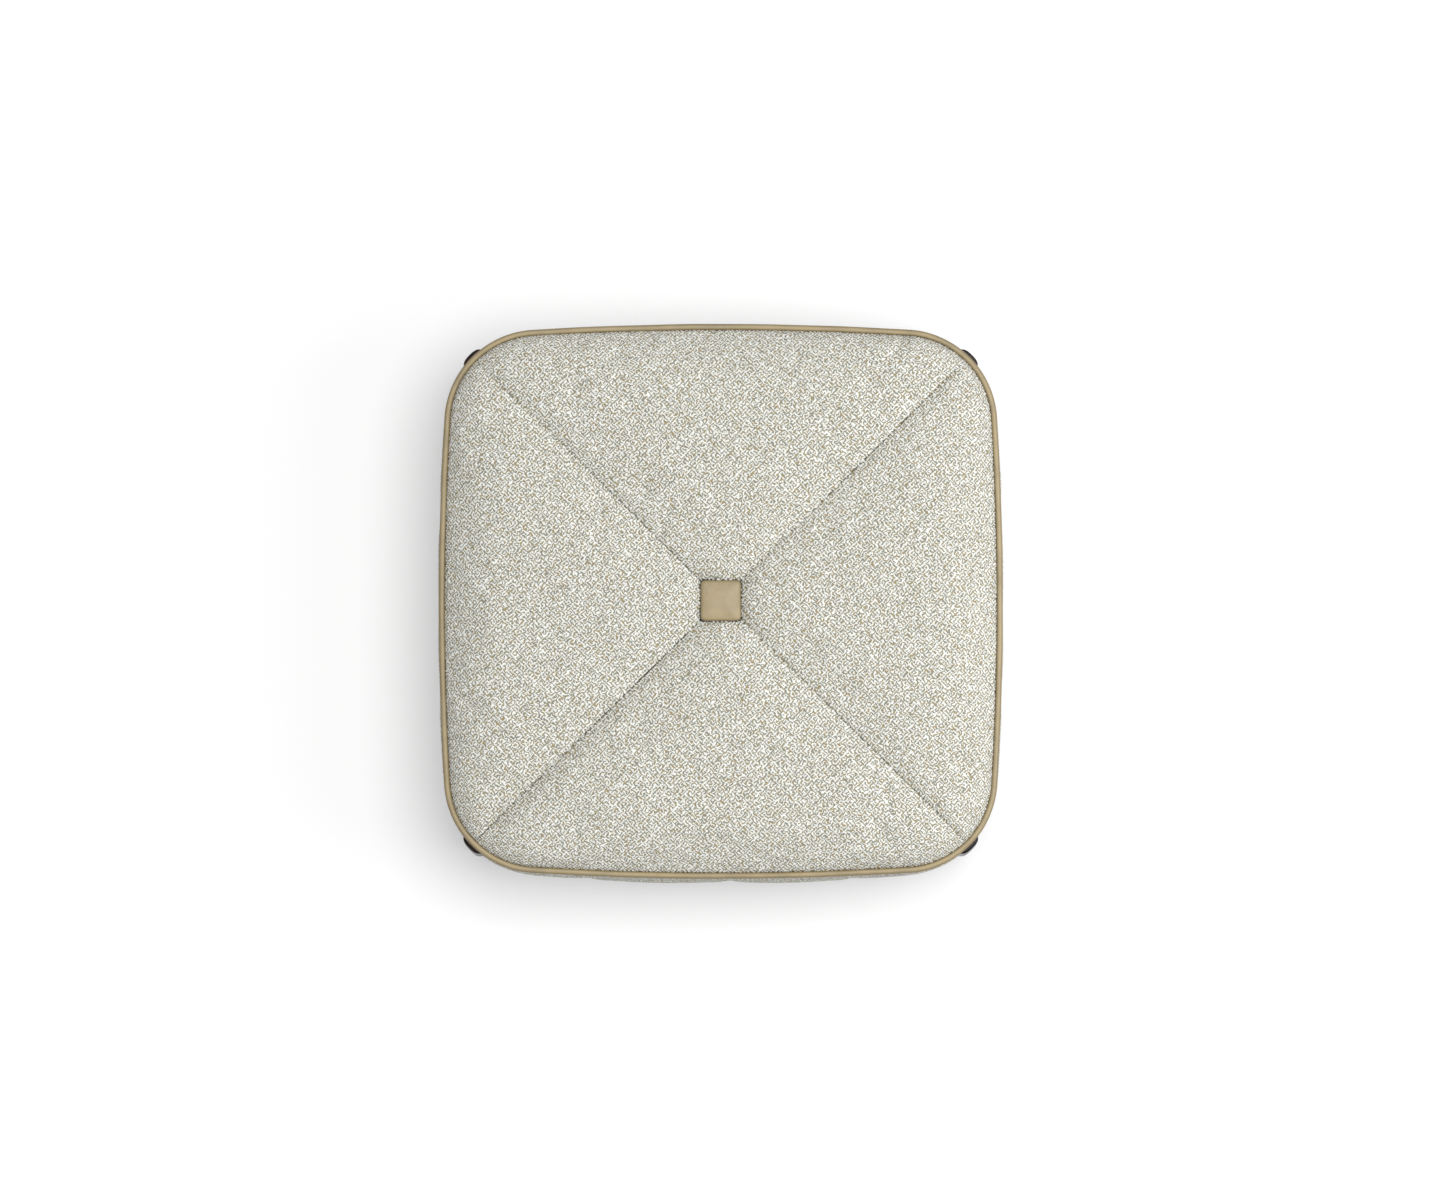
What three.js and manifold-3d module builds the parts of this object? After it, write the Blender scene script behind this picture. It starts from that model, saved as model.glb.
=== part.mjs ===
// Square upholstered seat pad on a beech frame, with four short corner legs.
//
// The top is sewn from four triangular panels that meet in two diagonal seams, pulled down in the
// middle by a square leather button and edged with leather piping. Below the cover lie wadding, foam,
// a decking cloth and woven elastic webbing on four bow-fronted rails. Each leg stands in a notch of
// the corner and is drawn against a corner block by a hanger bolt. Levelling glides screw into the legs.
//
// Units are millimetres. +Z is up, -Y is the front, and the origin is on the floor below the centre.

import * as THREE from "three";
import { mergeVertices } from "three/addons/utils/BufferGeometryUtils.js";
import Module from "manifold-3d";

const wasm = await Module();
wasm.setup();

// ---- Driving dimensions ----

const PAD_WIDTH = 450; // along X, over the piping
const PAD_DEPTH = 443; // along Y, over the piping
const SIDE_RADIUS = 2400; // the four sides bow outwards
const CORNER_RADIUS = 75;
const GAP = 0.3; // between pieces that touch

const GLIDE_HEIGHT = 5;
const FRAME_BOTTOM = 60;
const RAIL_HEIGHT = 32;
const PIPING_LEVEL = 130; // height of the piping's centre
const CROWN = 20; // rise of the panels above the piping
const CROWN_FULLNESS = 3.2; // how steeply the panels rise from the piping
const SEAM_DEPTH = 5; // of the valley along a diagonal seam
const SEAM_REACH = 30; // how far from the seam the valley begins
const TUFT_DEPTH = 14; // how far the button pulls the cover down
const TUFT_REACH = 60;

const FABRIC = 1.6; // thickness of the cover cloth
const SOFT_GAP = 0.7; // between the cover and the wadding below it
const CANVAS = 0.8; // thickness of the decking cloth and the dust cover
const PIPING_DIAMETER = 5;
const FRAME_INSET = 8; // from the piping's outside to the rails and the foam
const RAIL_REACH = 47.2; // from a corner's centre to the inner faces of the rails beside it

const LEG_HALF = 11.5; // half of the leg's width at its top
const LEG_FOOT_HALF = 9;
const LEG_SQUARENESS = 3; // exponent of the superellipse that is the leg's section
const LEG_PROUD = 3; // how far the leg stands out past the piping
const BLOCK_DEPTH = 45;
const BLOCK_HEIGHT = 26;
const BOLT_RADIUS = 3;
const BOLT_DEPTH = 14; // how far a hanger bolt goes into its leg
const WASHER_RADIUS = 9;
const WASHER_THICKNESS = 1.6;
const NUT_RADIUS = 5.8; // over its corners
const NUT_THICKNESS = 5;
const GLIDE_TRAVEL = 6;
const SCREW_LENGTH = 33;
const SCREW_RADIUS = 2;
const SCREW_HEAD_RADIUS = 4;

const WEB_WIDTH = 50;
const WEB_THICKNESS = 1.5;
const WEB_PITCH = 80;

const BUTTON_HALF = 16;
const BUTTON_SQUARENESS = 8; // exponent of the superellipse that is its outline
const BUTTON_BED = 11; // half of the recess that the core fills
const TWINE_RADIUS = 1.2;
const TWINE_HOLE = 4; // through the foam and the wadding
const ANCHOR_RADIUS = 14;
const ANCHOR_THICKNESS = 2;

// ---- Sizes worked out from them ----

const HALF_WIDTH = PAD_WIDTH / 2;
const HALF_DEPTH = PAD_DEPTH / 2;
const QUARTER_TURN = Math.PI / 2;
const DIAGONAL = Math.PI / 4;
const RAIL_TOP = FRAME_BOTTOM + RAIL_HEIGHT;
const LEG_TOP = PIPING_LEVEL - PIPING_DIAMETER / 2 - GAP;
const LEG_REACH = CORNER_RADIUS + LEG_PROUD - LEG_HALF; // corner's centre to the leg's centre
const BOLT_LEVEL = FRAME_BOTTOM + RAIL_HEIGHT / 2;
const WEB_LEVEL = RAIL_TOP + GAP + WEB_THICKNESS / 2; // centre of the webbing on a rail
const WEB_LIFT = (WEB_THICKNESS + GAP) / 2; // how far a crossing strap goes up or down
const DECK_LEVEL = WEB_LEVEL + 2 * WEB_LIFT + WEB_THICKNESS / 2 + GAP;
const FOAM_BOTTOM = DECK_LEVEL + CANVAS + GAP;
const FOAM_TOP = PIPING_LEVEL - 4;
const COVER_INSET = PIPING_DIAMETER + GAP;
const BAND_TOP = PIPING_LEVEL - PIPING_DIAMETER / 2 - GAP;
const BAND_BOTTOM = FRAME_BOTTOM - FABRIC - GAP;
const DUST_COVER_LEVEL = BAND_BOTTOM - GAP - CANVAS;
const BLOCK_BACK = LEG_REACH - LEG_HALF - GAP - BLOCK_DEPTH; // corner's centre to its block's inner face
const ANCHOR_TOP = WEB_LEVEL - WEB_THICKNESS / 2 - GAP;
const HOLE_HALF = 12; // the square hole in the cover below the button

const ALONG_SIDE = 2; // facets from the middle of a side to its end, the same in every layer
const ALONG_CORNER = 6; // facets from there to the corner's diagonal

// ---- Materials ----

function material(color, roughness, metalness = 0) {
  return new THREE.MeshStandardMaterial({ color, roughness, metalness });
}

const boucle = material(0xd2d0c4, 0.95);
const leather = material(0xbaab8a, 0.55);
const darkWood = material(0x1b100b, 0.35);
const beech = material(0xc9a679, 0.7);
const foamYellow = material(0xe6dcae, 0.9);
const whiteWadding = material(0xf0efeb, 0.95);
const jute = material(0xa98f66, 0.9);
const elastic = material(0x2c2c2e, 0.85);
const blackCanvas = material(0x1a1a1b, 0.95);
const zinc = material(0xb9bcc0, 0.35, 1);
const nylon = material(0x232323, 0.5);
const cotton = material(0xe3dcc8, 0.9);

// ---- Geometry helpers ----

// The centre of the +X +Y corner arc, which touches both bowed sides from inside.
function cornerCentre() {
  const p = SIDE_RADIUS - HALF_WIDTH;
  const q = SIDE_RADIUS - HALF_DEPTH;
  const reach = SIDE_RADIUS - CORNER_RADIUS;
  const slope = p / q;
  const offset = (p * p - q * q) / (2 * q);
  const b = p + slope * offset;
  const a = 1 + slope * slope;
  const x = (-b + Math.sqrt(b * b - a * (p * p + offset * offset - reach * reach))) / a;
  return new THREE.Vector2(x, slope * x + offset);
}

const CORNER = cornerCentre();
const SIDE_TURN = Math.atan2(CORNER.y, CORNER.x + SIDE_RADIUS - HALF_WIDTH);
const END_TURN = Math.atan2(CORNER.x, CORNER.y + SIDE_RADIUS - HALF_DEPTH);

// The point of the pad's plan outline, moved inwards by inset, whose outward normal has this angle.
function rim(angle, inset) {
  const c = Math.abs(Math.cos(angle));
  const s = Math.abs(Math.sin(angle));
  const turn = Math.atan2(s, c);
  let centre = CORNER;
  let radius = CORNER_RADIUS;
  if (turn < SIDE_TURN) {
    centre = new THREE.Vector2(HALF_WIDTH - SIDE_RADIUS, 0);
    radius = SIDE_RADIUS;
  } else if (turn > QUARTER_TURN - END_TURN) {
    centre = new THREE.Vector2(0, HALF_DEPTH - SIDE_RADIUS);
    radius = SIDE_RADIUS;
  }
  return new THREE.Vector2(
    Math.sign(Math.cos(angle)) * (centre.x + (radius - inset) * c),
    Math.sign(Math.sin(angle)) * (centre.y + (radius - inset) * s),
  );
}

// Normal angles from one corner's diagonal to the next, for the side that faces 90 degrees times quarter.
function sideAngles(quarter, reach = DIAGONAL, alongCorner = ALONG_CORNER) {
  const turn = quarter % 2 ? END_TURN : SIDE_TURN;
  const half = [];
  for (let i = 0; i < ALONG_SIDE; i++) half.push((turn * i) / ALONG_SIDE);
  for (let i = 0; i <= alongCorner; i++) half.push(turn + ((reach - turn) * i) / alongCorner);
  const mirrored = half.slice(1).reverse().map((angle) => -angle);
  return [...mirrored, ...half].map((angle) => angle + quarter * QUARTER_TURN);
}

// Normal angles all the way round, once each.
function loopAngles() {
  return [0, 1, 2, 3].flatMap((quarter) => sideAngles(quarter).slice(0, -1));
}

function outlineShape(inset) {
  return new THREE.Shape(loopAngles().map((angle) => rim(angle, inset)));
}

// A closed body through rings of points, each with as many points as the last. The rings run round in a
// loop, or the first and last are capped.
function loft(rings, loop = false) {
  const count = rings[0].length;
  const faces = [];
  const steps = loop ? rings.length : rings.length - 1;
  for (let i = 0; i < steps; i++) {
    const here = i * count;
    const next = ((i + 1) % rings.length) * count;
    for (let j = 0; j < count; j++) {
      const k = (j + 1) % count;
      faces.push([here + j, next + j, next + k], [here + j, next + k, here + k]);
    }
  }
  if (!loop) {
    const last = (rings.length - 1) * count;
    for (const [a, b, c] of capFaces(rings[0])) faces.push([a, b, c]);
    for (const [a, b, c] of capFaces(rings.at(-1))) faces.push([last + a, last + c, last + b]);
  }
  const geometry = new THREE.BufferGeometry().setFromPoints(rings.flat());
  geometry.setIndex((signedVolume(rings.flat(), faces) < 0 ? faces.map(flipped) : faces).flat());
  geometry.computeVertexNormals();
  return geometry;
}

function flipped([a, b, c]) {
  return [a, c, b];
}

function signedVolume(points, faces) {
  const cross = new THREE.Vector3();
  const sixfold = ([a, b, c]) => points[a].dot(cross.crossVectors(points[b], points[c]));
  return faces.reduce((sum, face) => sum + sixfold(face), 0) / 6;
}

// Triangles that fill a flat ring, turned the way that loft's first cap needs.
function capFaces(ring) {
  const normal = new THREE.Vector3();
  const cross = new THREE.Vector3();
  ring.forEach((point, i) => normal.add(cross.crossVectors(point, ring[(i + 1) % ring.length])));
  const across = new THREE.Vector3().subVectors(ring[1], ring[0]).normalize();
  const up = new THREE.Vector3().crossVectors(normal.normalize(), across);
  const flat = ring.map((point) => new THREE.Vector2(point.dot(across), point.dot(up)));
  return THREE.ShapeUtils.triangulateShape(flat, []);
}

// A flat slab of a shape between two heights.
function slab(shape, bottom, top) {
  const geometry = new THREE.ExtrudeGeometry(shape, { depth: top - bottom, bevelEnabled: false });
  return geometry.translate(0, 0, bottom);
}

function cylinder(radius, bottom, top, sides = 12) {
  const geometry = new THREE.CylinderGeometry(radius, radius, top - bottom, sides);
  return geometry.rotateX(QUARTER_TURN).translate(0, 0, (bottom + top) / 2);
}

// A turned body about Z from [radius, height] pairs that start and end on the axis.
function turned(profile, sides) {
  const points = profile.map(([radius, height]) => new THREE.Vector2(radius, height));
  return new THREE.LatheGeometry(points, sides).rotateX(QUARTER_TURN);
}

// A ring about Z with a square section.
function washer(inner, outer, bottom, top, sides = 7) {
  const shape = new THREE.Shape().absarc(0, 0, outer, 0, 2 * Math.PI);
  shape.holes.push(new THREE.Path().absarc(0, 0, inner, 0, 2 * Math.PI, true));
  const geometry = new THREE.ExtrudeGeometry(shape, {
    depth: top - bottom,
    bevelEnabled: false,
    curveSegments: sides,
  });
  return geometry.translate(0, 0, bottom);
}

// Points of a superellipse of the given half size at one height.
function superellipse(half, squareness, height, sides = 16) {
  return Array.from({ length: sides }, (_, i) => {
    const angle = (2 * Math.PI * i) / sides;
    const c = Math.cos(angle);
    const s = Math.sin(angle);
    const scale = half / (Math.abs(c) ** squareness + Math.abs(s) ** squareness) ** (1 / squareness);
    return new THREE.Vector3(scale * c, scale * s, height);
  });
}

function solidOf(geometry) {
  const bare = geometry.clone();
  bare.deleteAttribute("normal");
  bare.deleteAttribute("uv");
  const merged = mergeVertices(bare, 1e-4);
  return new wasm.Manifold(
    new wasm.Mesh({
      numProp: 3,
      vertProperties: merged.attributes.position.array,
      triVerts: new Uint32Array(merged.index.array),
    }),
  );
}

// A geometry with others cut out of it.
function cut(geometry, ...tools) {
  const solid = tools.reduce((body, tool) => body.subtract(solidOf(tool)), solidOf(geometry));
  const mesh = solid.getMesh();
  const result = new THREE.BufferGeometry();
  result.setAttribute("position", new THREE.BufferAttribute(mesh.vertProperties, 3));
  result.setIndex(new THREE.BufferAttribute(mesh.triVerts, 1));
  result.computeVertexNormals();
  return result;
}

// ---- The four corners ----

// Each corner has a group at the centre of its arc, turned so that its local +X points out along the
// diagonal. Quarter 0 is back right, and they run anticlockwise.
const CORNERS = [
  { name: "back_right", x: 1, y: 1 },
  { name: "back_left", x: -1, y: 1 },
  { name: "front_left", x: -1, y: -1 },
  { name: "front_right", x: 1, y: -1 },
].map((corner, quarter) => ({ ...corner, quarter, turn: DIAGONAL + quarter * QUARTER_TURN }));

const SIDES = ["right", "back", "left", "front"]; // the side that faces 90 degrees times its index

const pad = new THREE.Group();

function add(name, geometry, look, parent = pad) {
  const mesh = new THREE.Mesh(geometry, look);
  mesh.name = name;
  parent.add(mesh);
  return mesh;
}

function toCorner(geometry, corner) {
  return geometry.clone().rotateZ(corner.turn).translate(corner.x * CORNER.x, corner.y * CORNER.y, 0);
}

// The room that each leg needs in the layers around it.
function legNotches(bottom, top) {
  const clearance = 1;
  const half = LEG_HALF + clearance;
  const rings = [bottom, top].map((height) => superellipse(half, LEG_SQUARENESS, height, 12));
  const notch = loft(rings).translate(LEG_REACH, 0, 0);
  return CORNERS.map((corner) => toCorner(notch, corner));
}

// ---- Frame: rails, corner blocks, legs and their hardware ----

const SCREW_OFFSET = -17; // along a rail, from the corner's centre
const SCREW_START = 16; // from the corner's centre towards the rail

// A countersunk wood screw along +X, with its head at the origin.
function woodScrew(clearance = 0) {
  const shank = SCREW_RADIUS + clearance;
  const head = SCREW_HEAD_RADIUS + clearance;
  const profile = [
    [0, -clearance],
    [head, -clearance],
    [head, 0.6],
    [shank, 3],
    [shank, SCREW_LENGTH - 4],
    [0, SCREW_LENGTH + clearance],
  ];
  return turned(profile, 8).rotateY(QUARTER_TURN);
}

// The bore along -X that lets a screw's head in through the block's slanted inner face.
function screwAccess() {
  const length = 30;
  return cylinder(SCREW_HEAD_RADIUS + 0.5, 0, length, 10).rotateY(-QUARTER_TURN).translate(0.2, 0, 0);
}

// A body that lies along X, placed once for each of a corner block's two screws, in the corner's frame.
function atBlockScrews(geometry) {
  const alongX = geometry.clone().translate(SCREW_START, SCREW_OFFSET, BOLT_LEVEL);
  const alongY = geometry.clone().rotateZ(QUARTER_TURN).translate(SCREW_OFFSET, SCREW_START, BOLT_LEVEL);
  return [alongX.rotateZ(-DIAGONAL), alongY.rotateZ(-DIAGONAL)];
}

function railGeometry(quarter) {
  const along = quarter % 2 ? CORNER.x : CORNER.y;
  const face = (quarter % 2 ? CORNER.y : CORNER.x) + RAIL_REACH;
  const end = along + 33;
  const outer = CORNER_RADIUS - FRAME_INSET;
  const endTurn = Math.asin((end - along) / outer);
  const centre = new THREE.Vector2();
  const points = sideAngles(quarter, endTurn, 3).map((angle) => {
    return rim(angle, FRAME_INSET).rotateAround(centre, -quarter * QUARTER_TURN);
  });
  const shape = new THREE.Shape([new THREE.Vector2(face, -end), ...points, new THREE.Vector2(face, end)]);
  const rail = slab(shape, FRAME_BOTTOM, RAIL_TOP).rotateZ(quarter * QUARTER_TURN);
  const beside = [CORNERS[quarter], CORNERS[(quarter + 3) % 4]];
  const screwHoles = atBlockScrews(woodScrew(GAP));
  const holes = beside.flatMap((corner) => screwHoles.map((hole) => toCorner(hole, corner)));
  return cut(rail, ...holes);
}

function cornerBlockGeometry() {
  const face = LEG_REACH - LEG_HALF - GAP;
  const outerHalf = (RAIL_REACH - GAP) * Math.SQRT2 - face;
  const innerHalf = outerHalf + BLOCK_DEPTH;
  const shape = new THREE.Shape([
    new THREE.Vector2(face, -outerHalf),
    new THREE.Vector2(face, outerHalf),
    new THREE.Vector2(face - BLOCK_DEPTH, innerHalf),
    new THREE.Vector2(face - BLOCK_DEPTH, -innerHalf),
  ]);
  const block = slab(shape, BOLT_LEVEL - BLOCK_HEIGHT / 2, BOLT_LEVEL + BLOCK_HEIGHT / 2);
  const bore = alongDiagonal(cylinder(BOLT_RADIUS + GAP, 0, 2 * CORNER_RADIUS));
  return cut(block, bore, ...atBlockScrews(woodScrew(GAP)), ...atBlockScrews(screwAccess()));
}

// Turns a body that stands on Z so that it lies along the corner's diagonal at the bolt's level.
function alongDiagonal(geometry) {
  return geometry.rotateY(QUARTER_TURN).translate(-LEG_HALF, 0, BOLT_LEVEL);
}

function legGeometry() {
  const foot = GLIDE_HEIGHT + GAP;
  const levels = [
    [LEG_FOOT_HALF - 1.5, foot],
    [LEG_FOOT_HALF, foot + 2],
    [LEG_HALF, FRAME_BOTTOM],
    [LEG_HALF, LEG_TOP - 1.5],
    [LEG_HALF - 1.5, LEG_TOP],
  ];
  const post = loft(levels.map(([half, height]) => superellipse(half, LEG_SQUARENESS, height)));
  const stemHole = cylinder(BOLT_RADIUS + GAP, 0, foot + GLIDE_TRAVEL + 20);
  const boltHole = alongDiagonal(cylinder(BOLT_RADIUS + GAP, 0, BOLT_DEPTH + 2 * GAP));
  return cut(post, stemHole, boltHole.translate(-GAP, 0, 0));
}

function glideGeometry() {
  const base = LEG_FOOT_HALF;
  const profile = [
    [0, 0],
    [base - 1, 0],
    [base, 1],
    [base, GLIDE_HEIGHT - 1],
    [base - 1, GLIDE_HEIGHT],
    [BOLT_RADIUS, GLIDE_HEIGHT],
    [BOLT_RADIUS, GLIDE_HEIGHT + GLIDE_TRAVEL + 14],
    [0, GLIDE_HEIGHT + GLIDE_TRAVEL + 15],
  ];
  return turned(profile, 16);
}

function hangerBoltGeometry() {
  const start = BLOCK_BACK - WASHER_THICKNESS - NUT_THICKNESS - 6;
  const end = LEG_REACH - LEG_HALF + BOLT_DEPTH;
  const profile = [
    [0, start],
    [BOLT_RADIUS - 0.6, start],
    [BOLT_RADIUS, start + 1],
    [BOLT_RADIUS, end - 4],
    [0, end],
  ];
  return turned(profile, 10).rotateY(QUARTER_TURN).translate(0, 0, BOLT_LEVEL);
}

function boltWasherGeometry() {
  const back = BLOCK_BACK - GAP;
  const ring = washer(BOLT_RADIUS + GAP, WASHER_RADIUS, back - WASHER_THICKNESS, back);
  return ring.rotateY(QUARTER_TURN).translate(0, 0, BOLT_LEVEL);
}

function hexNutGeometry() {
  const corners = Array.from({ length: 6 }, (_, i) => {
    const angle = (i * Math.PI) / 3;
    return new THREE.Vector2(NUT_RADIUS * Math.cos(angle), NUT_RADIUS * Math.sin(angle));
  });
  const back = BLOCK_BACK - 2 * GAP - WASHER_THICKNESS;
  const nut = slab(new THREE.Shape(corners), back - NUT_THICKNESS, back);
  const bored = cut(nut, cylinder(BOLT_RADIUS + GAP, back - 2 * NUT_THICKNESS, back + 1));
  return bored.rotateY(QUARTER_TURN).translate(0, 0, BOLT_LEVEL);
}

function addFrame() {
  SIDES.forEach((side, quarter) => add(`rail_${side}`, railGeometry(quarter), beech));
  const block = cornerBlockGeometry();
  const leg = legGeometry();
  const glide = glideGeometry();
  for (const corner of CORNERS) {
    const group = new THREE.Group();
    group.position.set(corner.x * CORNER.x, corner.y * CORNER.y, 0);
    group.rotation.z = corner.turn;
    pad.add(group);
    add(`corner_block_${corner.name}`, block, beech, group);
    add(`hanger_bolt_${corner.name}`, hangerBoltGeometry(), zinc, group);
    add(`bolt_washer_${corner.name}`, boltWasherGeometry(), zinc, group);
    add(`bolt_nut_${corner.name}`, hexNutGeometry(), zinc, group);
    add(`leg_${corner.name}`, leg, darkWood, group).position.x = LEG_REACH;
    add(`glide_${corner.name}`, glide, nylon, group).position.x = LEG_REACH;
    atBlockScrews(woodScrew()).forEach((screw, i) => {
      add(`block_screw_${corner.name}_${i + 1}`, screw, zinc, group);
    });
  }
}

// ---- Suspension: woven webbing and the decking cloth ----

// One strap as a side view, in X and height, made into a ribbon of the webbing's width. The strap goes
// over or under each crossing strap in turn, and firstUp says which comes first.
function strapGeometry(half, firstUp) {
  const ramp = 8;
  const crossing = WEB_WIDTH / 2 + 2;
  const line = [[-half, WEB_LEVEL]];
  [-1, 0, 1].forEach((k, i) => {
    const up = (i % 2 === 0) === firstUp;
    const level = WEB_LEVEL + (up ? 2 * WEB_LIFT : 0);
    line.push([k * WEB_PITCH - crossing, level], [k * WEB_PITCH + crossing, level]);
  });
  line.push([half, WEB_LEVEL]);
  line.splice(1, 0, [-WEB_PITCH - crossing - ramp, WEB_LEVEL]);
  line.splice(-1, 0, [WEB_PITCH + crossing + ramp, WEB_LEVEL]);
  const edge = (offset) => line.map(([x, z]) => new THREE.Vector2(x, z + offset));
  const lower = edge(-WEB_THICKNESS / 2);
  const upper = edge(WEB_THICKNESS / 2).reverse();
  const ribbon = new THREE.ExtrudeGeometry(new THREE.Shape([...lower, ...upper]), {
    depth: WEB_WIDTH,
    bevelEnabled: false,
  });
  return ribbon.rotateX(QUARTER_TURN).translate(0, WEB_WIDTH / 2, 0);
}

function addSuspension() {
  const hole = cylinder(2 * TWINE_RADIUS, RAIL_TOP - 5, FOAM_BOTTOM + 5);
  const places = ["1", "2", "3"];
  places.forEach((place, i) => {
    const shift = (i - 1) * WEB_PITCH;
    const along = strapGeometry(HALF_WIDTH - FRAME_INSET - 8, i % 2 === 0).translate(0, shift, 0);
    const across = strapGeometry(HALF_DEPTH - FRAME_INSET - 8, i % 2 !== 0);
    across.rotateZ(QUARTER_TURN).translate(shift, 0, 0);
    add(`webbing_across_${place}`, shift ? along : cut(along, hole), elastic);
    add(`webbing_lengthways_${place}`, shift ? across : cut(across, hole), elastic);
  });
  const cloth = slab(outlineShape(FRAME_INSET + 4), DECK_LEVEL, DECK_LEVEL + CANVAS);
  add("decking_cloth", cut(cloth, hole, ...legNotches(FRAME_BOTTOM, LEG_TOP)), jute);
  const dustCover = slab(outlineShape(FRAME_INSET + 6), DUST_COVER_LEVEL, DUST_COVER_LEVEL + CANVAS);
  add("dust_cover", cut(dustCover, ...legNotches(0, LEG_TOP)), blackCanvas);
}

// ---- Padding ----

// Distance in plan from the nearer diagonal seam.
function seamDistance(x, y) {
  const end = rim(DIAGONAL, 0).normalize();
  return Math.abs(Math.abs(x) * end.y - Math.abs(y) * end.x);
}

// Height of the cover's outer face. Inward is 0 at the piping and 1 at the button.
function coverHeight(x, y, inward) {
  const dome = CROWN * (1 - (1 - inward) ** CROWN_FULLNESS);
  const nearSeam = Math.max(0, 1 - seamDistance(x, y) / SEAM_REACH);
  const valley = SEAM_DEPTH * nearSeam ** 2 * Math.min(1, 4 * inward);
  const reach = (x ** 6 + y ** 6) ** (1 / 6) / TUFT_REACH;
  const tuft = TUFT_DEPTH * (0.43 * Math.exp(-(reach ** 2)) + 0.57 * Math.exp(-((3.2 * reach) ** 4)));
  return PIPING_LEVEL + dome - Math.max(valley, 0.6 * valley + tuft);
}

const INWARD_STEPS = [0, 0.05, 0.14, 0.3, 0.55, 0.8, 0.93, 1];

// Plan points from the rim at one angle in to the square hole below the button.
function spoke(angle, inset) {
  const outer = rim(angle, inset);
  const inner = outer.clone().multiplyScalar(HOLE_HALF / Math.max(Math.abs(outer.x), Math.abs(outer.y)));
  return INWARD_STEPS.map((inward) => ({ inward, point: outer.clone().lerp(inner, inward) }));
}

// A cap over the foam with a skirt that hangs down outside the rails, and a hole for the twine.
function waddingGeometry() {
  const below = FABRIC + SOFT_GAP;
  const skirt = 5.3; // from the piping's outside to the skirt's
  const hem = FRAME_BOTTOM + 1;
  const rings = loopAngles().map((angle) => {
    const surface = spoke(angle, COVER_INSET + 1).map(({ inward, point }) => {
      return new THREE.Vector3(point.x, point.y, coverHeight(point.x, point.y, inward) - below);
    });
    const direction = surface.at(-1).clone().setZ(0).normalize();
    const hole = direction.clone().multiplyScalar(TWINE_HOLE);
    const at = (inset, height) => {
      const point = rim(angle, inset);
      return new THREE.Vector3(point.x, point.y, height);
    };
    return [
      at(skirt, hem),
      at(skirt, PIPING_LEVEL - 3.5),
      ...surface,
      hole.clone().setZ(surface.at(-1).z),
      hole.clone().setZ(FOAM_TOP + GAP),
      at(FRAME_INSET - GAP, FOAM_TOP + GAP),
      at(FRAME_INSET - GAP, hem),
    ];
  });
  return cut(loft(rings, true), ...legNotches(0, LEG_TOP + 1));
}

function foamGeometry() {
  const block = slab(outlineShape(FRAME_INSET), FOAM_BOTTOM, FOAM_TOP);
  return cut(block, cylinder(TWINE_HOLE, RAIL_TOP, PIPING_LEVEL), ...legNotches(RAIL_TOP, LEG_TOP + 1));
}

// ---- Cover: four top panels, four side bands and the piping ----

// Each panel stops half a gap short of the seams at its two ends.
function topPanelGeometry(quarter) {
  const angles = sideAngles(quarter);
  const last = angles.length - 1;
  const centre = new THREE.Vector2();
  const rings = angles.map((angle, i) => {
    const away = (i === 0 ? GAP : 0) - (i === last ? GAP : 0);
    const shift = new THREE.Vector2(0, away * Math.SQRT1_2).rotateAround(centre, quarter * QUARTER_TURN);
    const outer = spoke(angle, COVER_INSET).map(({ inward, point }) => {
      const height = coverHeight(point.x, point.y, inward);
      return new THREE.Vector3(point.x + shift.x, point.y + shift.y, height);
    });
    const inner = outer.map((point) => point.clone().setZ(point.z - FABRIC));
    return [...outer, ...inner.reverse()];
  });
  return loft(rings);
}

// The band's outer face as [inset at its ends, inset at its middle, height] from the piping down.
const BAND_FACE = [
  [3.2, 2.6, BAND_TOP],
  [3.2, 0.8, BAND_TOP - 14],
  [3.2, 0.8, FRAME_BOTTOM + 12],
  [3.2, 2.2, FRAME_BOTTOM],
  [4.6, 4.2, BAND_BOTTOM],
];

function sideBandGeometry(quarter) {
  const reach = DIAGONAL - (LEG_HALF - 2) / CORNER_RADIUS;
  const turn = quarter % 2 ? END_TURN : SIDE_TURN;
  const fold = FRAME_INSET + 12;
  const rings = sideAngles(quarter, reach, 4).map((angle) => {
    const off = Math.abs(angle - quarter * QUARTER_TURN);
    const share = THREE.MathUtils.smoothstep(off, turn, reach);
    const at = (inset, height) => {
      const point = rim(angle, inset);
      return new THREE.Vector3(point.x, point.y, height);
    };
    const face = BAND_FACE.map(([end, middle, height]) => [THREE.MathUtils.lerp(middle, end, share), height]);
    const outside = face.map(([inset, height]) => at(inset, height));
    const inside = face.slice(0, -1).map(([inset, height]) => at(inset + FABRIC, height));
    inside[inside.length - 1].z = BAND_BOTTOM + FABRIC;
    const hem = [at(fold, BAND_BOTTOM), at(fold, BAND_BOTTOM + FABRIC)];
    return [...outside, ...hem, ...inside.reverse()];
  });
  return cut(loft(rings), ...legNotches(0, PIPING_LEVEL + 5));
}

// A ring of the pad's outline whose section is given as [outwards, up] pairs about the piping's centre.
function rimRing(section) {
  const rings = loopAngles().map((angle) =>
    section.map(([outwards, up]) => {
      const point = rim(angle, PIPING_DIAMETER / 2 - outwards);
      return new THREE.Vector3(point.x, point.y, PIPING_LEVEL + up);
    }),
  );
  return loft(rings, true);
}

const PIPING_LEATHER = 0.9; // thickness

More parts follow.
